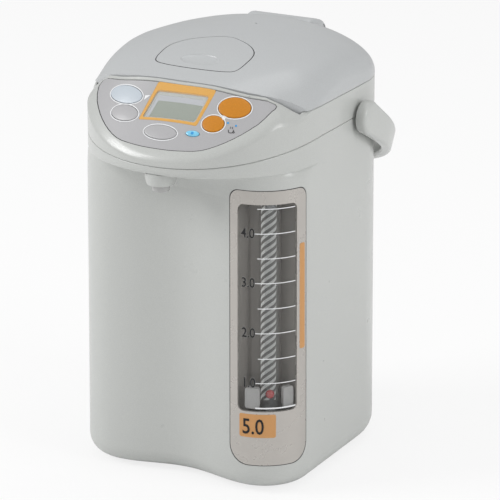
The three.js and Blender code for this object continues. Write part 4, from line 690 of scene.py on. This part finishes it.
def casing():
    shell = loft(casing_rings() + inner_rings()[::-1], closed=True)
    socket = block(-SOCKET.half_width - GAP, SOCKET.half_width + GAP, SOCKET.floor_y, FAR,
                   SOCKET.low - GAP, SOCKET.high + GAP)
    spout_hole = upright(SPOUT.hole, 0, SPOUT.y, FLARE_START, POT.seam, SPOUT.sides)
    cut(shell, region(GAUGE, GAP), socket, spout_hole, pivot_hole())
    finished(shell, "casing", "pearl", surface_of(casing_rings()), node="body_shell")


# The deck

def rim_z(y):
    return min(COLLAR.top, COLLAR.rim_low + COLLAR.rim_slope * (y - COLLAR.rim_low_y))


def steepness(y):
    share = (COLLAR.flat_y - y) / (COLLAR.flat_y - COLLAR.steep_y)
    share = min(1, max(0, share))
    return share * share * (3 - 2 * share)


def deck_rows():
    """Inset and rise over the rim, and the same where the shoulder is flat: a soft rim, then the slope."""
    rows = []
    for k in range(DECK.steps + 1):
        t = k / DECK.steps
        start, belly = (1 - t) ** 2, t * (1 - t)
        rows.append((DECK.inset * t * t, -DECK.rim_drop * start - DECK.rim_belly * belly, DECK.flat * t * t,
                     DECK.flat_drop * start + DECK.flat_belly * belly))
    return rows + [(inset, inset - DECK.inset, inset, 0) for inset in DECK.insets]


def deck_ring(inset, rise, flat_inset, below, drop=0):
    steep, flat, edge = beak_half(inset), beak_half(flat_inset), beak_half(0)
    half = []
    for p, q, e in zip(steep, flat, edge):
        share = steepness(e[1])
        half.append((q[0] + (p[0] - q[0]) * share, q[1] + (p[1] - q[1]) * share))

    def z_at(_, i):
        y = edge[i][1]
        share = steepness(y)
        return (COLLAR.top - below) * (1 - share) + (rim_z(y) + rise) * share - drop

    return ring_of(half, z_at)


def deck_rings(drop=0):
    return [deck_ring(*row, drop) for row in deck_rows()]


def deck_block(drop, low=SEAM.clear):
    return loft([ring_of(beak_half(0), near_seam(low))] + deck_rings(drop))


def deck_surface(drop):
    return surface_of(deck_rings(drop))


def deck_layer(top, low):
    return cut(deck_block(top), deck_block(low, -FAR))


def collar_rings():
    edge = [ring_of(beak_half(SEAM.round), near_seam(SEAM.clear)),
            ring_of(beak_half(SEAM.soft), near_seam(SEAM.clear + SEAM.soft)),
            ring_of(beak_half(0), near_seam(SEAM.clear + SEAM.round))]
    return edge + deck_rings()


def deck_hollow():
    w = COLLAR.wall
    rows = [(w, -DECK.hollow_drop, w, DECK.wall), (DECK.inset + w / 4, w / 4 - DECK.wall, DECK.inset, w)]
    rows += [(inset, inset - DECK.inset - DECK.wall, inset, w) for inset in DECK.hollow_insets]
    return loft([ring_of(beak_half(w), near_seam(-OVER))] + [deck_ring(*row) for row in rows])


def deck_z(x, y):
    across, ahead = abs(x), BEAK.start_y - y
    low, high = 0.0, BEAK.reach - DECK.core
    for _ in range(DECK.halvings):
        inset = (low + high) / 2
        wide, deep = across / (BEAK.half_width - inset), ahead / (BEAK.reach - inset)
        if wide ** BEAK.power + deep ** BEAK.power < 1:
            low = inset
        else:
            high = inset
    edge_y = BEAK.start_y - BEAK.reach * ahead / (BEAK.reach - low)
    return rim_z(edge_y) + low - DECK.inset


def deck_frame(x, y):
    step = DECK.slope_step
    slope_x = (deck_z(x + step, y) - deck_z(x - step, y)) / (2 * step)
    slope_y = (deck_z(x, y + step) - deck_z(x, y - step)) / (2 * step)
    normal = Vector((-slope_x, -slope_y, 1)).normalized()
    up = Vector((slope_x, slope_y, 0)).normalized()
    across = up.cross(normal).normalized()
    along = normal.cross(across)
    return Vector((x, y, deck_z(x, y))), normal, across, along


def deck_point(centre, u, v, lift):
    """A place on the deck, u across and v up the slope from a centre, lifted off the surface."""
    at, normal, across, along = deck_frame(*centre)
    flat = at + across * u + along * v
    sunk = (flat.z - deck_z(flat.x, flat.y)) * normal.z
    return tuple(flat + normal * (lift - sunk))


def deck_hole(piece, clear, sides=48):
    at, normal, side, up = deck_frame(*piece.at)
    return loft([circle(sides, lambda c, s: tuple(at + side * (piece.across + clear) * c
                                                  + up * (piece.along + clear) * s + normal * lift))
                 for lift in (-KEY.hole_depth, KEY.depth)])


def deck_holes():
    return [deck_hole(key, FIT) for key in KEYS.values()] + [deck_hole(LAMP, GAP)]


def deck_rim(centre, across, along, width, low, high, sides=64):
    """A flat printed ring that follows the deck."""
    section = ((0, low), (0, high), (width, high), (width, low))
    return loft([circle(sides, lambda c, s: deck_point(centre, (across + grow) * c, (along + grow) * s, lift))
                 for grow, lift in section], closed=True)


def deck_patch(centre, points, high=PRINT_HIGH):
    """A thin printed shape given by its outline, across and up the slope from a centre."""
    return slab([deck_point(centre, u, v, PRINT_LOW) for u, v in points],
                [deck_point(centre, u, v, high) for u, v in points])


def on_deck(outline):
    return prism(outline, 0, FAR)


def panel_outline(grow):
    lower, upper = PANEL.lower, PANEL.upper
    ring = [(-x, y) for x, y in lower[::-1]] + lower + upper + [(-x, y) for x, y in upper[::-1]]
    return offset(cornered(ring), grow)


def lid_front_y(x):
    out = abs(x)
    bend = LID.corner_back * min(1, out / LID.corner_x) ** LID.front_power
    return LID.front_y + bend + LID.corner_slope * max(0, out - LID.corner_x)


def lid_front(ahead, steps=32):
    """The lid's field: its front edge from left to right, moved by ahead, then far out behind."""
    front = []
    for i in range(-steps, steps + 1):
        x = LID.corner_x * i / steps
        front.append((x, lid_front_y(x) - ahead))
    side = BEAK.half_width
    y = lid_front_y(side) - ahead
    return [(-FAR / 2, y), (-side, y)] + front + [(side, y), (FAR / 2, y), (FAR / 2, FAR), (-FAR / 2, FAR)]


def lid_field(ahead, z0, z1):
    return prism(lid_front(ahead), z0, z1)


def deck_plate(top, low, outline):
    """A plate of the given outline that lies between two depths under the deck."""
    return common(deck_layer(top, low), on_deck(outline))


def inset_prism(inset, z0, z1):
    return prism([(x, y) for x, y, _ in ring_of(beak_half(inset), 0)], z0, z1)


def collar():
    rings = collar_rings()
    whole = loft(rings)
    ledge = common(loft(rings), lid_field(LEDGE.wall, LEDGE.low, LEDGE.top))
    front = common(loft(rings), lid_field(LEDGE.wall, LEDGE.low, FAR))
    cut(front, lid_field(0, 0, FAR))
    neck_out = upright(MOUTH.radius + MOUTH.wall, 0, MOUTH.y, MOUTH.low, LEDGE.low + COLLAR.wall, MOUTH.sides)
    cut(whole, deck_hollow())
    join(whole, ledge, front, neck_out)
    room = lid_field(0, COLLAR.top, FAR)
    join(room, common(lid_field(0, LEDGE.top, FAR), inset_prism(LEDGE.rim, LEDGE.top, FAR)))
    sheet = deck_plate(-PANEL.room, PANEL.set + PANEL.thick, panel_outline(GAP))
    catch = block(-CATCH.half_width, CATCH.half_width, LID.front_y - LEDGE.wall - OVER,
                  LID.front_y + OVER, CATCH.low, CATCH.high)
    cut(whole, room, upright(MOUTH.radius, 0, MOUTH.y, MOUTH.low - OVER, FAR, MOUTH.sides), sheet,
        on_deck(rounded(offset(DISPLAY.window, -DISPLAY.lip), DISPLAY.window_round)), *deck_holes(),
        pivot_hole(), catch)
    finished(whole, "collar", "pearl", surface_of(rings), deck_surface(PANEL.set + PANEL.thick))


def sheet_piece(outline, sunk=0):
    return deck_plate(PANEL.set + sunk, PANEL.set + PANEL.thick - GAP, outline)


def control_panel():
    # A dark ring round the control panel's edge: painted shade for the gap around the panel.
    line = sheet_piece(panel_outline(0), LINE_DEPTH)
    cut(line, on_deck(panel_outline(-LINE)))
    finished(line, "panel_gap_shade", "dark")
    sheet = sheet_piece(panel_outline(-LINE))
    cut(sheet, on_deck(rounded(offset(DISPLAY.frame, GAP / 2), DISPLAY.frame_round)), *deck_holes())
    finished(sheet, "control_panel", "panel", deck_surface(PANEL.set))


def display():
    rim = sheet_piece(rounded(DISPLAY.frame, DISPLAY.frame_round))
    cut(rim, on_deck(rounded(DISPLAY.window, DISPLAY.window_round)))
    finished(rim, "display_frame", "amber", deck_surface(PANEL.set))
    pane, bezel = (rounded(offset(DISPLAY.window, -fit), DISPLAY.window_round)
                   for fit in (DISPLAY.pane_fit, DISPLAY.bezel_fit))
    top, low = PANEL.set + DISPLAY.pane_top, PANEL.set + DISPLAY.pane_low
    finished(deck_plate(top, low, pane), "display_window", "glass", deck_surface(top), deck_surface(low))
    top, low = DISPLAY.bezel_top, DISPLAY.bezel_low
    finished(deck_plate(top, low, bezel), "display_bezel", "bezel", deck_surface(top), node="display_module")
    top, low = DISPLAY.screen_top, DISPLAY.screen_low
    screen = rounded(DISPLAY.screen, DISPLAY.screen_round)
    finished(deck_plate(top, low, screen), "display_lcd", "lcd", deck_surface(top))


def key_cap(key):
    """A key's cap: its top follows the deck, a little crowned, with a soft edge."""
    profile = [(1, -KEY.depth, 0), (1, KEY.proud - KEY.edge_low, 0),
               (1, KEY.proud - KEY.edge_high, -KEY.edge_in), (1, KEY.proud, -KEY.top_in)]
    profile += [(share, KEY.proud + KEY.crown * (1 - share * share), 0) for share in KEY.crown_shares]
    return loft([circle(KEY.sides, lambda c, s: deck_point(key.at, (key.across + shrink) * share * c,
                                                           (key.along + shrink) * share * s, lift))
                 for share, lift, shrink in profile])


def keys():
    for name, key in KEYS.items():
        finished(key_cap(key), name, key.look, body=key.body, crease=40)
        clear = FIT + KEY.ring_gap
        rim = deck_rim(key.at, key.across + clear, key.along + clear, KEY.ring_width, PRINT_LOW, PRINT_HIGH)
        finished(rim, name + "_rim", "white_ink", crease=50)
    finished(deck_patch(KEYS["key_boil"].at, ARROW), "boil_arrow", "white_ink")
    finished(deck_patch(LINK.at, LINK.outline, LINK.high), "key_link", "white_ink")


def dot(name, look, at, bore, width, low, high, sides=20):
    finished(deck_rim(at, bore, bore, width, low, high, sides), name, look)


def lamps():
    finished(key_cap(LAMP), "refill_lamp", "blue_lens", crease=40)
    dot("refill_lamp_core", "blue_core", LAMP.at, DOTS.bore, LAMP.core, LAMP.core_low, LAMP.core_high,
        LAMP.core_sides)
    for index, at in enumerate(DOTS.places):
        dot(f"key_light_{index + 1}", "blue_core", at, DOTS.bore, DOTS.width, PRINT_LOW, DOTS.high)


def cup_icon():
    """A plain cup with steam, printed beside the unlock key."""
    finished(deck_patch(CUP.at, CUP.wall, CUP.high), "icon_cup", "dark_ink")
    ear_at = (CUP.at[0] + CUP.ear[0], CUP.at[1] + CUP.ear[1])
    dot("icon_cup_ear", "dark_ink", ear_at, CUP.ear_bore, CUP.ear_width, PRINT_LOW, CUP.high)
    for index, side in enumerate(CUP.steam_at):
        steam = deck_patch(CUP.at, [(side + u, v) for u, v in CUP.steam], CUP.high)
        finished(steam, f"icon_steam_{index + 1}", "dark_ink")


# Gauge

def gauge_panel():
    layer = common(wall_layer(0, POT.wall), region(GAUGE, -LINE))
    cut(layer, region(WINDOW, 0))
    finished(layer, "gauge_panel", "champagne", layer_surface(0))


def gauge_gap_shade():
    """A dark ring round the gauge panel, painted shade for the gap around it."""
    line = common(wall_layer(LINE_DEPTH, POT.wall), region(GAUGE, LINE_OUT))
    cut(line, region(GAUGE, -LINE))
    finished(line, "gauge_gap_shade", "dark", layer_surface(LINE_DEPTH))


def gauge_window():
    pane = common(wall_layer(GAUGE.glass_sunk, POT.wall), region(WINDOW, -GAP / 2))
    finished(pane, "gauge_window", "smoke", layer_surface(GAUGE.glass_sunk), layer_surface(POT.wall))


def gauge_marks():
    for index, height in enumerate(TICK.heights):
        start = TICK.whole_start if index % 2 or not index else TICK.half_start
        half = TICK.half if index else TICK.foot_half
        steps = max(2, int((TICK.end - start) / TICK.step))
        rings = []
        for k in range(steps + 1):
            s = start + (TICK.end - start) * (k / steps)
            rings.append([(*on_corner(s, GLASS_FACE + out, z), z)
                          for out, z in ((0, height - half), (TICK.thick, height - half),
                                         (TICK.thick, height + half), (0, height + half))])
        finished(loft(rings), f"gauge_tick_{index}", "white_ink")


def corner_text(name, words, size, start, foot, radius, thick, look, grow, slot=None):
    """Plain figures wrapped on the corner, from start on, standing on the height foot."""
    curve = bpy.data.curves.new(name, "FONT")
    curve.body = words
    curve.size = size
    curve.offset = grow
    curve.extrude = 0.5
    curve.resolution_u = 3
    flat = placed(name, curve)
    data = evaluated_mesh(flat)
    bpy.data.objects.remove(flat)
    bpy.data.curves.remove(curve)
    for vertex in data.vertices:
        x, y, out = vertex.co
        place = on_corner(start + x * FIGURE.narrow, radius + thick * (0.5 + out), foot + y)
        vertex.co = (*place, foot + y)
    finished(placed(name, data), name, look, slot=slot)


def gauge_figures():
    for words, index in FIGURE.marks:
        foot = TICK.heights[index] - FIGURE.drop
        tag = words.replace(".", "_")
        corner_text("figure_edge_" + tag, words, FIGURE.size, FIGURE.start, foot, GLASS_FACE, FIGURE.skin,
                    "bracket", FIGURE.edge_grow, "white_plastic")
        corner_text("figure_" + tag, words, FIGURE.size, FIGURE.start, foot, GLASS_FACE + FIGURE.skin,
                    FIGURE.thick, "dark_ink", FIGURE.grow)


def gauge_plates():
    for name, place in PLATE.places.items():
        plate = common(wall_layer(-PLATE.proud, PLATE.sunk),
                       corner_region(*place, PLATE.round, PLATE.round))
        finished(plate, name, "tan", layer_surface(-PLATE.proud))
    corner_text("capacity_figure", "5.0", CAPACITY.size, CAPACITY.start, CAPACITY.z,
                FRONT.corner + PLATE.proud, CAPACITY.thick, "dark_ink", CAPACITY.grow)


def turned_in_gauge(made):
    """Moves a piece drawn round the tube's line, its front towards -Y, to its place in the corner."""
    spin = Matrix.Rotation(GAUGE.tube_angle, 4, "Z")
    made.data.transform(Matrix.Translation((GAUGE.x, GAUGE.y, 0)) @ spin)
    return made


def gauge_stripes():
    half, face, top = STRIPES.half, STRIPES.face, STRIPES.print_face
    plate = turned_in_gauge(block(-half, half, face, STRIPES.back, STRIPES.low, STRIPES.high))
    finished(plate, "gauge_backplate", "tray")
    verts, faces = [], []
    z = STRIPES.low - STRIPES.rise
    while z < STRIPES.high:
        rings = []
        for k in range(STRIPES.steps + 1):
            u = half * math.sin(QUARTER * (2 * k / STRIPES.steps - 1))
            lift = STRIPES.rise * (k / STRIPES.steps)
            low, high = max(STRIPES.low, z + lift), min(STRIPES.high, z + lift + STRIPES.thick)
            if high - low > STRIPES.least:
                rings.append([(u, face, low), (u, top, low), (u, top, high), (u, face, high)])
        if len(rings) > 1:
            more, quads = loft_parts(rings)
            faces += [tuple(i + len(verts) for i in face_ids) for face_ids in quads]
            verts += more
        z += STRIPES.pitch
    finished(turned_in_gauge(linked(verts, faces)), "gauge_stripes", "stripe")


def gauge_tube():
    r, bore, low, high = GAUGE.tube_radius, GAUGE.tube_bore, GAUGE.tube_low, GAUGE.tube_high
    tube = turned([(bore, low), (r, low), (r, high), (bore, high)], TUBE_X, TUBE_Y, GAUGE.tube_sides)
    finished(tube, "gauge_tube", "tube")


def gauge_brackets():
    for side, span in BRACKET.spans:
        piece = common(wall_layer(BRACKET.face, BRACKET.back, BRACKET.layer_low, BRACKET.layer_high, 2),
                       corner_region(*span, BRACKET.low, BRACKET.high, BRACKET.round, BRACKET.round,
                                     BRACKET.steps))
        finished(piece, "gauge_bracket_" + side, "bracket", layer_surface(BRACKET.face))


def ball():
    r = BALL.radius
    made = ellipsoid((TUBE_X, TUBE_Y, BALL.z), r, r, r, BALL.steps, BALL.sides)
    finished(made, "float_ball", "red", body="float", crease=60)


# Spout

def spout():
    bore, nozzle, low, foot = SPOUT.bore, SPOUT.nozzle, SPOUT.low, SPOUT.cup_low
    roof = POT.seam - BEAK.dip - SPOUT.roof
    inner = nozzle + GAP
    profile = [(inner, roof), (inner, low)] + [(foot + out, low + up) for out, up in SPOUT.foot_curve]
    profile += [(SPOUT.cup_top - SPOUT.top_in, low + SPOUT.top_rise), (SPOUT.cup_top, roof)]
    cup = turned(profile, 0, SPOUT.y)
    cut(cup, loft([[(x, y, z - GAP) for x, y, z in ring] for ring in casing_rings()]))
    finished(cup, "spout_cover", "pearl", crease=40)
    low = SPOUT.nozzle_low
    profile = [(bore, SPOUT.nozzle_top), (bore, low + SPOUT.bore_edge), (bore + SPOUT.bore_edge, low),
               (nozzle - SPOUT.nozzle_edge, low), (nozzle, low + SPOUT.nozzle_edge),
               (nozzle, SPOUT.nozzle_top)]
    finished(turned(profile, 0, SPOUT.y), "spout_nozzle", "bracket", crease=40)


# Lid

def dome_crown(y):
    span = LID.top_y - LID.front_y
    return LID.top - LID.fall * (abs(y - LID.top_y) / span) ** LID.fall_power


def crown_z(y):
    fall_y = LID.end_y - LID.rear_fall
    if y < fall_y:
        return dome_crown(y)
    share = min(1, (y - fall_y) / LID.rear_fall)
    return LID.seam + (dome_crown(fall_y) - LID.seam) * (1 - share ** LID.rear_power)


def half_width_at(y):
    if y <= BEAK.start_y:
        ahead = (BEAK.start_y - y) / BEAK.reach
        return BEAK.half_width * (1 - ahead ** BEAK.power) ** (1 / BEAK.power)
    if y <= REAR.centre_y:
        return BEAK.half_width
    back = REAR.corner ** 2 - (y - REAR.centre_y) ** 2
    return BEAK.half_width - REAR.corner + math.sqrt(max(0, back))


def dome_z(x, y, inset=0, drop=0):
    across = min(1, abs(x) / (half_width_at(y) - inset))
    behind = min(1, max(0, (y - lid_front_y(x)) / DOME.blend))
    back = min(1, max(0, y / LID.end_y))
    power, curve = (front + (mid - front) * behind + (rear - mid) * back
                    for front, mid, rear in (DOME.powers, DOME.rounds))
    return LID.seam + (crown_z(y) - drop - LID.seam) * (1 - across ** power) ** (1 / curve)


def dome_rings(inset, drop, low=None, across=48, along=64):
    """Rows across the dome. With a height low, each goes down to it at both ends."""
    y0, y1 = LID.front_y - LID.wall, LID.end_y - inset
    rings = []
    for i in range(along + 1):
        y = y0 + (y1 - y0) * math.sin(QUARTER * i / along)
        half = half_width_at(y) - inset
        ring = []
        for j in range(across + 1):
            x = half * math.cos(math.pi * j / across)
            ring.append((x, y, dome_z(x, y, inset, drop)))
        if low is not None:
            ring = [(half, y, low)] + ring + [(-half, y, low)]
        rings.append(ring)
    return rings


def dome_block(inset, drop, low):
    return loft(dome_rings(inset, drop, low))


def dome_surface():
    return Surface(*loft_parts(dome_rings(0, 0), caps=False, open_rows=True))


def leaning_field(set_back, z0, z1):
    rings = []
    for z in (z0, z1):
        back = set_back + LID.taper * (LID.crease - z)
        rings.append([(x, y, z) for x, y in lid_front(-back)])
    return loft(rings)


def lever_block(grow):
    right = [(x, LEVER.pivot_y + y) for x, y in LEVER.outline]
    ring = right + [(-x, y) for x, y in reversed(right[1:-1])]
    for _ in range(LEVER.rounds):
        ring = cornered(ring)
    return prism(offset(ring, grow), 0, FAR)


def hinge_sweep(steps=16):
    """The room that the lid's rear edge sweeps through as it opens."""
    points = [(HINGE.rise_y, 0), (FAR, 0)]
    widest = POT.depth - HINGE.rise_y + OVER
    for i in range(steps, -1, -1):
        back = widest * i / steps
        points.append((HINGE.y + back, HINGE.z - math.sqrt(max(0, HINGE.rise_radius ** 2 - back ** 2))))
    return sideways(points, FAR)


def lid_shell():
    upper = common(dome_block(0, 0, LID.skirt_low),
                   block(-FAR, FAR, -FAR, FAR, LID.seam, FAR), leaning_field(FIT, 0, FAR))
    skirt = common(dome_block(0, 0, LID.skirt_low), leaning_field(FIT, 0, FAR),
                   inset_prism(LID.skirt_out, LID.skirt_low, LID.seam + LID.wall),
                   block(-FAR, FAR, -FAR, LID.skirt_back_y, 0, FAR))
    join(upper, skirt)
    cut(upper, common(dome_block(LID.skirt_in, LID.wall, 0), leaning_field(FIT + LID.wall, -FAR, FAR)))
    tub = common(dome_block(0, 0, LID.skirt_low), lever_block(LEVER.gap + LEVER.tub_wall))
    cut(tub, dome_block(0, LEVER.pocket + LEVER.tub_floor, 0))
    join(upper, tub)
    pocket = cut(lever_block(LEVER.pocket_gap), dome_block(0, LEVER.pocket, 0))
    notch = block(-HINGE.cover_half - GAP, HINGE.cover_half + GAP, HINGE.cover_front - GAP, FAR, 0, FAR)
    slot = block(-LATCH.half_width - GAP, LATCH.half_width + GAP, -FAR, LATCH.rail_front,
                 LATCH.low - GAP, LATCH.high + GAP)
    cut(upper, pocket, hinge_sweep(), notch, slot, upright(VENT.radius, 0, VENT.y, LID.seam, FAR, VENT.sides))
    finished(upper, "lid_shell", "lid", dome_surface(), body="lid")


def scoop():
    """The finger hollow: a shallow ellipsoid pressed into the lever."""
    return ellipsoid((0, SCOOP.y, dome_z(0, SCOOP.y)), SCOOP.across, SCOOP.along, SCOOP.deep,
                     SCOOP.steps, SCOOP.sides, SCOOP.tilt)


def lid_lever():
    plate = common(dome_block(0, 0, 0), lever_block(-LINE))
    cut(plate, dome_block(0, LEVER.thick, -FAR), scoop())
    # A dark ring round the lever: painted shade for the gap around it.
    line = common(dome_block(0, LINE_DEPTH, 0), lever_block(0))
    cut(line, dome_block(0, LEVER.thick, -FAR), lever_block(-LINE))
    finished(line, "lever_gap_shade", "dark", body="lever")
    finished(plate, "lid_lever", "lid", dome_surface(), body="lever")


def edged(half, back, face):
    """Places across a plate of the given half thickness, each with the inset of its soft edge."""
    return [(-half + at, inset) for at, inset in back] + [(half - at, inset) for at, inset in face]


def hinge_cover():
    half = HINGE.cover_half
    soft = cornered(HINGE_OUTER, HINGE.soft)
    sides = edged(half, HINGE.edge, reversed(HINGE.edge))
    cover = loft([[(x, y, z) for y, z in offset(soft, -inset)] for x, inset in sides])
    join(cover, common(dome_block(0, 0, HINGE.z),
                       block(-half, half, HINGE.cover_front, HINGE.y, HINGE.z, FAR)))
    cut(cover, sideways(HINGE_CAVITY, HINGE.cavity_half), hinge_sweep(),
        rod(HINGE.pin + GAP, (-FAR, HINGE.y, HINGE.z), (FAR, HINGE.y, HINGE.z)))
    finished(cover, "hinge_cover", "lid", dome_surface(), body="lid", crease=50)


# Bail

def section_points(thick, tall, radius, steps=5):
    points = []
    for sx, sy, start in ((1, 1, 0), (-1, 1, 1), (-1, -1, 2), (1, -1, 3)):
        for k in range(steps + 1):
            angle = QUARTER * (start + k / steps)
            points.append((sx * (thick / 2 - radius) + radius * math.cos(angle),
                           sy * (tall / 2 - radius) + radius * math.sin(angle)))
    return points


def bail_world(x, u, w):
    return (x, BAIL.y + u * math.cos(BAIL.rest) + w * math.sin(BAIL.rest),
            BAIL.z - u * math.sin(BAIL.rest) + w * math.cos(BAIL.rest))


def bail():
    x, corner, reach, thick, tall = BAIL.x, BAIL.corner, BAIL.reach, BAIL.thick, BAIL.tall
    straight, inside = reach - corner, x - corner
    path = [(x, straight * k / BAIL.arm_steps, 1, 0) for k in range(BAIL.arm_steps + 1)]
    for i in range(1, BAIL.corner_steps + 1):
        angle = QUARTER * i / BAIL.corner_steps
        path.append((inside + corner * math.cos(angle), straight + corner * math.sin(angle),
                     math.cos(angle), math.sin(angle)))
    path += [(inside * (1 - k / BAIL.grip_steps), reach, 0, 1) for k in range(1, BAIL.grip_steps)]
    whole = path + [(-px, u, -nx, nu) for px, u, nx, nu in reversed(path)]

    def section_at(u):
        share = min(1, u / BAIL.taper)
        return section_points(thick, tall + (BAIL.grip_tall - tall) * share, BAIL.round)

    band = loft([[bail_world(px + nx * n, u + nu * n, w) for n, w in section_at(u)]
                 for px, u, nx, nu in whole])
    edge = [(out, tall / 2 - inset) for out, inset in edged(thick / 2, BAIL.back_edge, BAIL.face_edge)]
    join(band, *[loft([circle(BAIL.end_sides, lambda c, s: (side * (x + out), BAIL.y + r * c, BAIL.z + r * s))
                       for out, r in edge]) for side in (-1, 1)])
    cut(band, *[rod(BAIL.pin + GAP, (side * BAIL.head_in, BAIL.y, BAIL.z),
                    (side * BAIL.hole_end, BAIL.y, BAIL.z)) for side in (-1, 1)])
    finished(band, "bail_handle", "pearl", body="bail", crease=40)


# The pieces kept from the CAD model

def carried_over():
    looks = {
        "dark": ["swivel_base", "bottom_plate", "inlet_socket"],
        "tray": ["gauge_tray"],
        "steel": ["swivel_screw", "bottom_screw_1", "bottom_screw_2", "bottom_screw_3", "bottom_screw_4",
                  "handle_pin_left", "handle_pin_right", "hinge_pin", "inner_container", "heater_plate",
                  "pump_motor", "inner_lid", "lever_pin"],
        "rubber": ["swivel_foot_ring", "container_gasket", "inner_lid_gasket"],
        "white": ["temperature_sensor", "pump_housing", "impeller", "tilt_valve", "steam_duct",
                  "lid_inner_cover"],
        "tube": ["inlet_hose", "delivery_hose", "spout_hose"],
        "grey": ["gauge_fitting_low", "gauge_fitting_high", "hinge_block", "latch"],
        "board": ["power_board", "control_board"],
    }
    for look, names in looks.items():
        for name in names:
            node = frame["nodes"][name]
            node.data.materials.clear()
            node.data.materials.append(MATERIALS[look])


# Scene

def floor():
    far = FLOOR.half
    made = linked([(-far, -far, 0), (far, -far, 0), (far, far, 0), (-far, far, 0)], [(0, 1, 2, 3)], "floor")
    material, node = shader("floor", FLOOR.colour, FLOOR.roughness)
    tree = material.node_tree
    path = added(tree, "LightPath")
    glow = added(tree, "Emission", Color=(1, 1, 1, 1), Strength=1.0)
    mix = added(tree, "MixShader")
    share = added(tree, "Math")
    share.operation = "MULTIPLY"
    share.inputs[1].default_value = FLOOR.white_share
    tree.links.new(path.outputs["Is Camera Ray"], share.inputs[0])
    tree.links.new(share.outputs[0], mix.inputs["Fac"])
    tree.links.new(node.outputs["BSDF"], mix.inputs[1])
    tree.links.new(glow.outputs[0], mix.inputs[2])
    tree.links.new(mix.outputs[0], tree.nodes["Material Output"].inputs["Surface"])
    made.data.materials.append(material)


def world():
    made = bpy.data.worlds.new("studio")
    bpy.context.scene.world = made
    made.use_nodes = True
    tree = made.node_tree
    back = tree.nodes["Background"]
    back.inputs["Color"].default_value = (1, 1, 1, 1)
    path = added(tree, "LightPath")
    seen = added(tree, "Math")
    seen.operation = "MAXIMUM"
    tree.links.new(path.outputs["Is Camera Ray"], seen.inputs[0])
    tree.links.new(path.outputs["Is Transmission Ray"], seen.inputs[1])
    tree.links.new(ranged(tree, seen.outputs[0], WORLD_LEVEL, 1.0), back.inputs["Strength"])


def camera():
    azimuth, elevation = math.radians(CAMERA.azimuth), math.radians(CAMERA.elevation)
    away = Vector((math.sin(azimuth) * math.cos(elevation), -math.cos(azimuth) * math.cos(elevation),
                   math.sin(elevation)))
    data = bpy.data.cameras.new("camera")
    data.sensor_width = CAMERA.sensor
    data.lens = CAMERA.lens
    data.shift_x, data.shift_y = CAMERA.shift
    data.clip_end = CAMERA.clip_end
    made = placed("camera", data)
    made.location = Vector((0, 0, CAMERA.height)) + away * CAMERA.distance
    made.rotation_euler = (-away).to_track_quat("-Z", "Y").to_euler()
    bpy.context.scene.camera = made


def lights():
    for name, (place, size, power) in LIGHTS.items():
        lamp = bpy.data.lights.new(name, "AREA")
        lamp.shape = "RECTANGLE"
        lamp.size, lamp.size_y = size
        lamp.energy = power
        made = placed(name, lamp)
        made.location = place
        made.rotation_euler = (Vector(LIGHTS_AIM) - Vector(place)).to_track_quat("-Z", "Y").to_euler()


bpy.context.scene.view_settings.view_transform = "Standard"
for make in (camera, world, lights, floor, casing, collar, control_panel, display, keys, lamps, cup_icon,
             gauge_panel, gauge_gap_shade, gauge_window, gauge_marks, gauge_figures, gauge_plates, gauge_stripes,
             gauge_tube, gauge_brackets, ball, spout, lid_shell, lid_lever, hinge_cover, bail,
             carried_over):
    make()
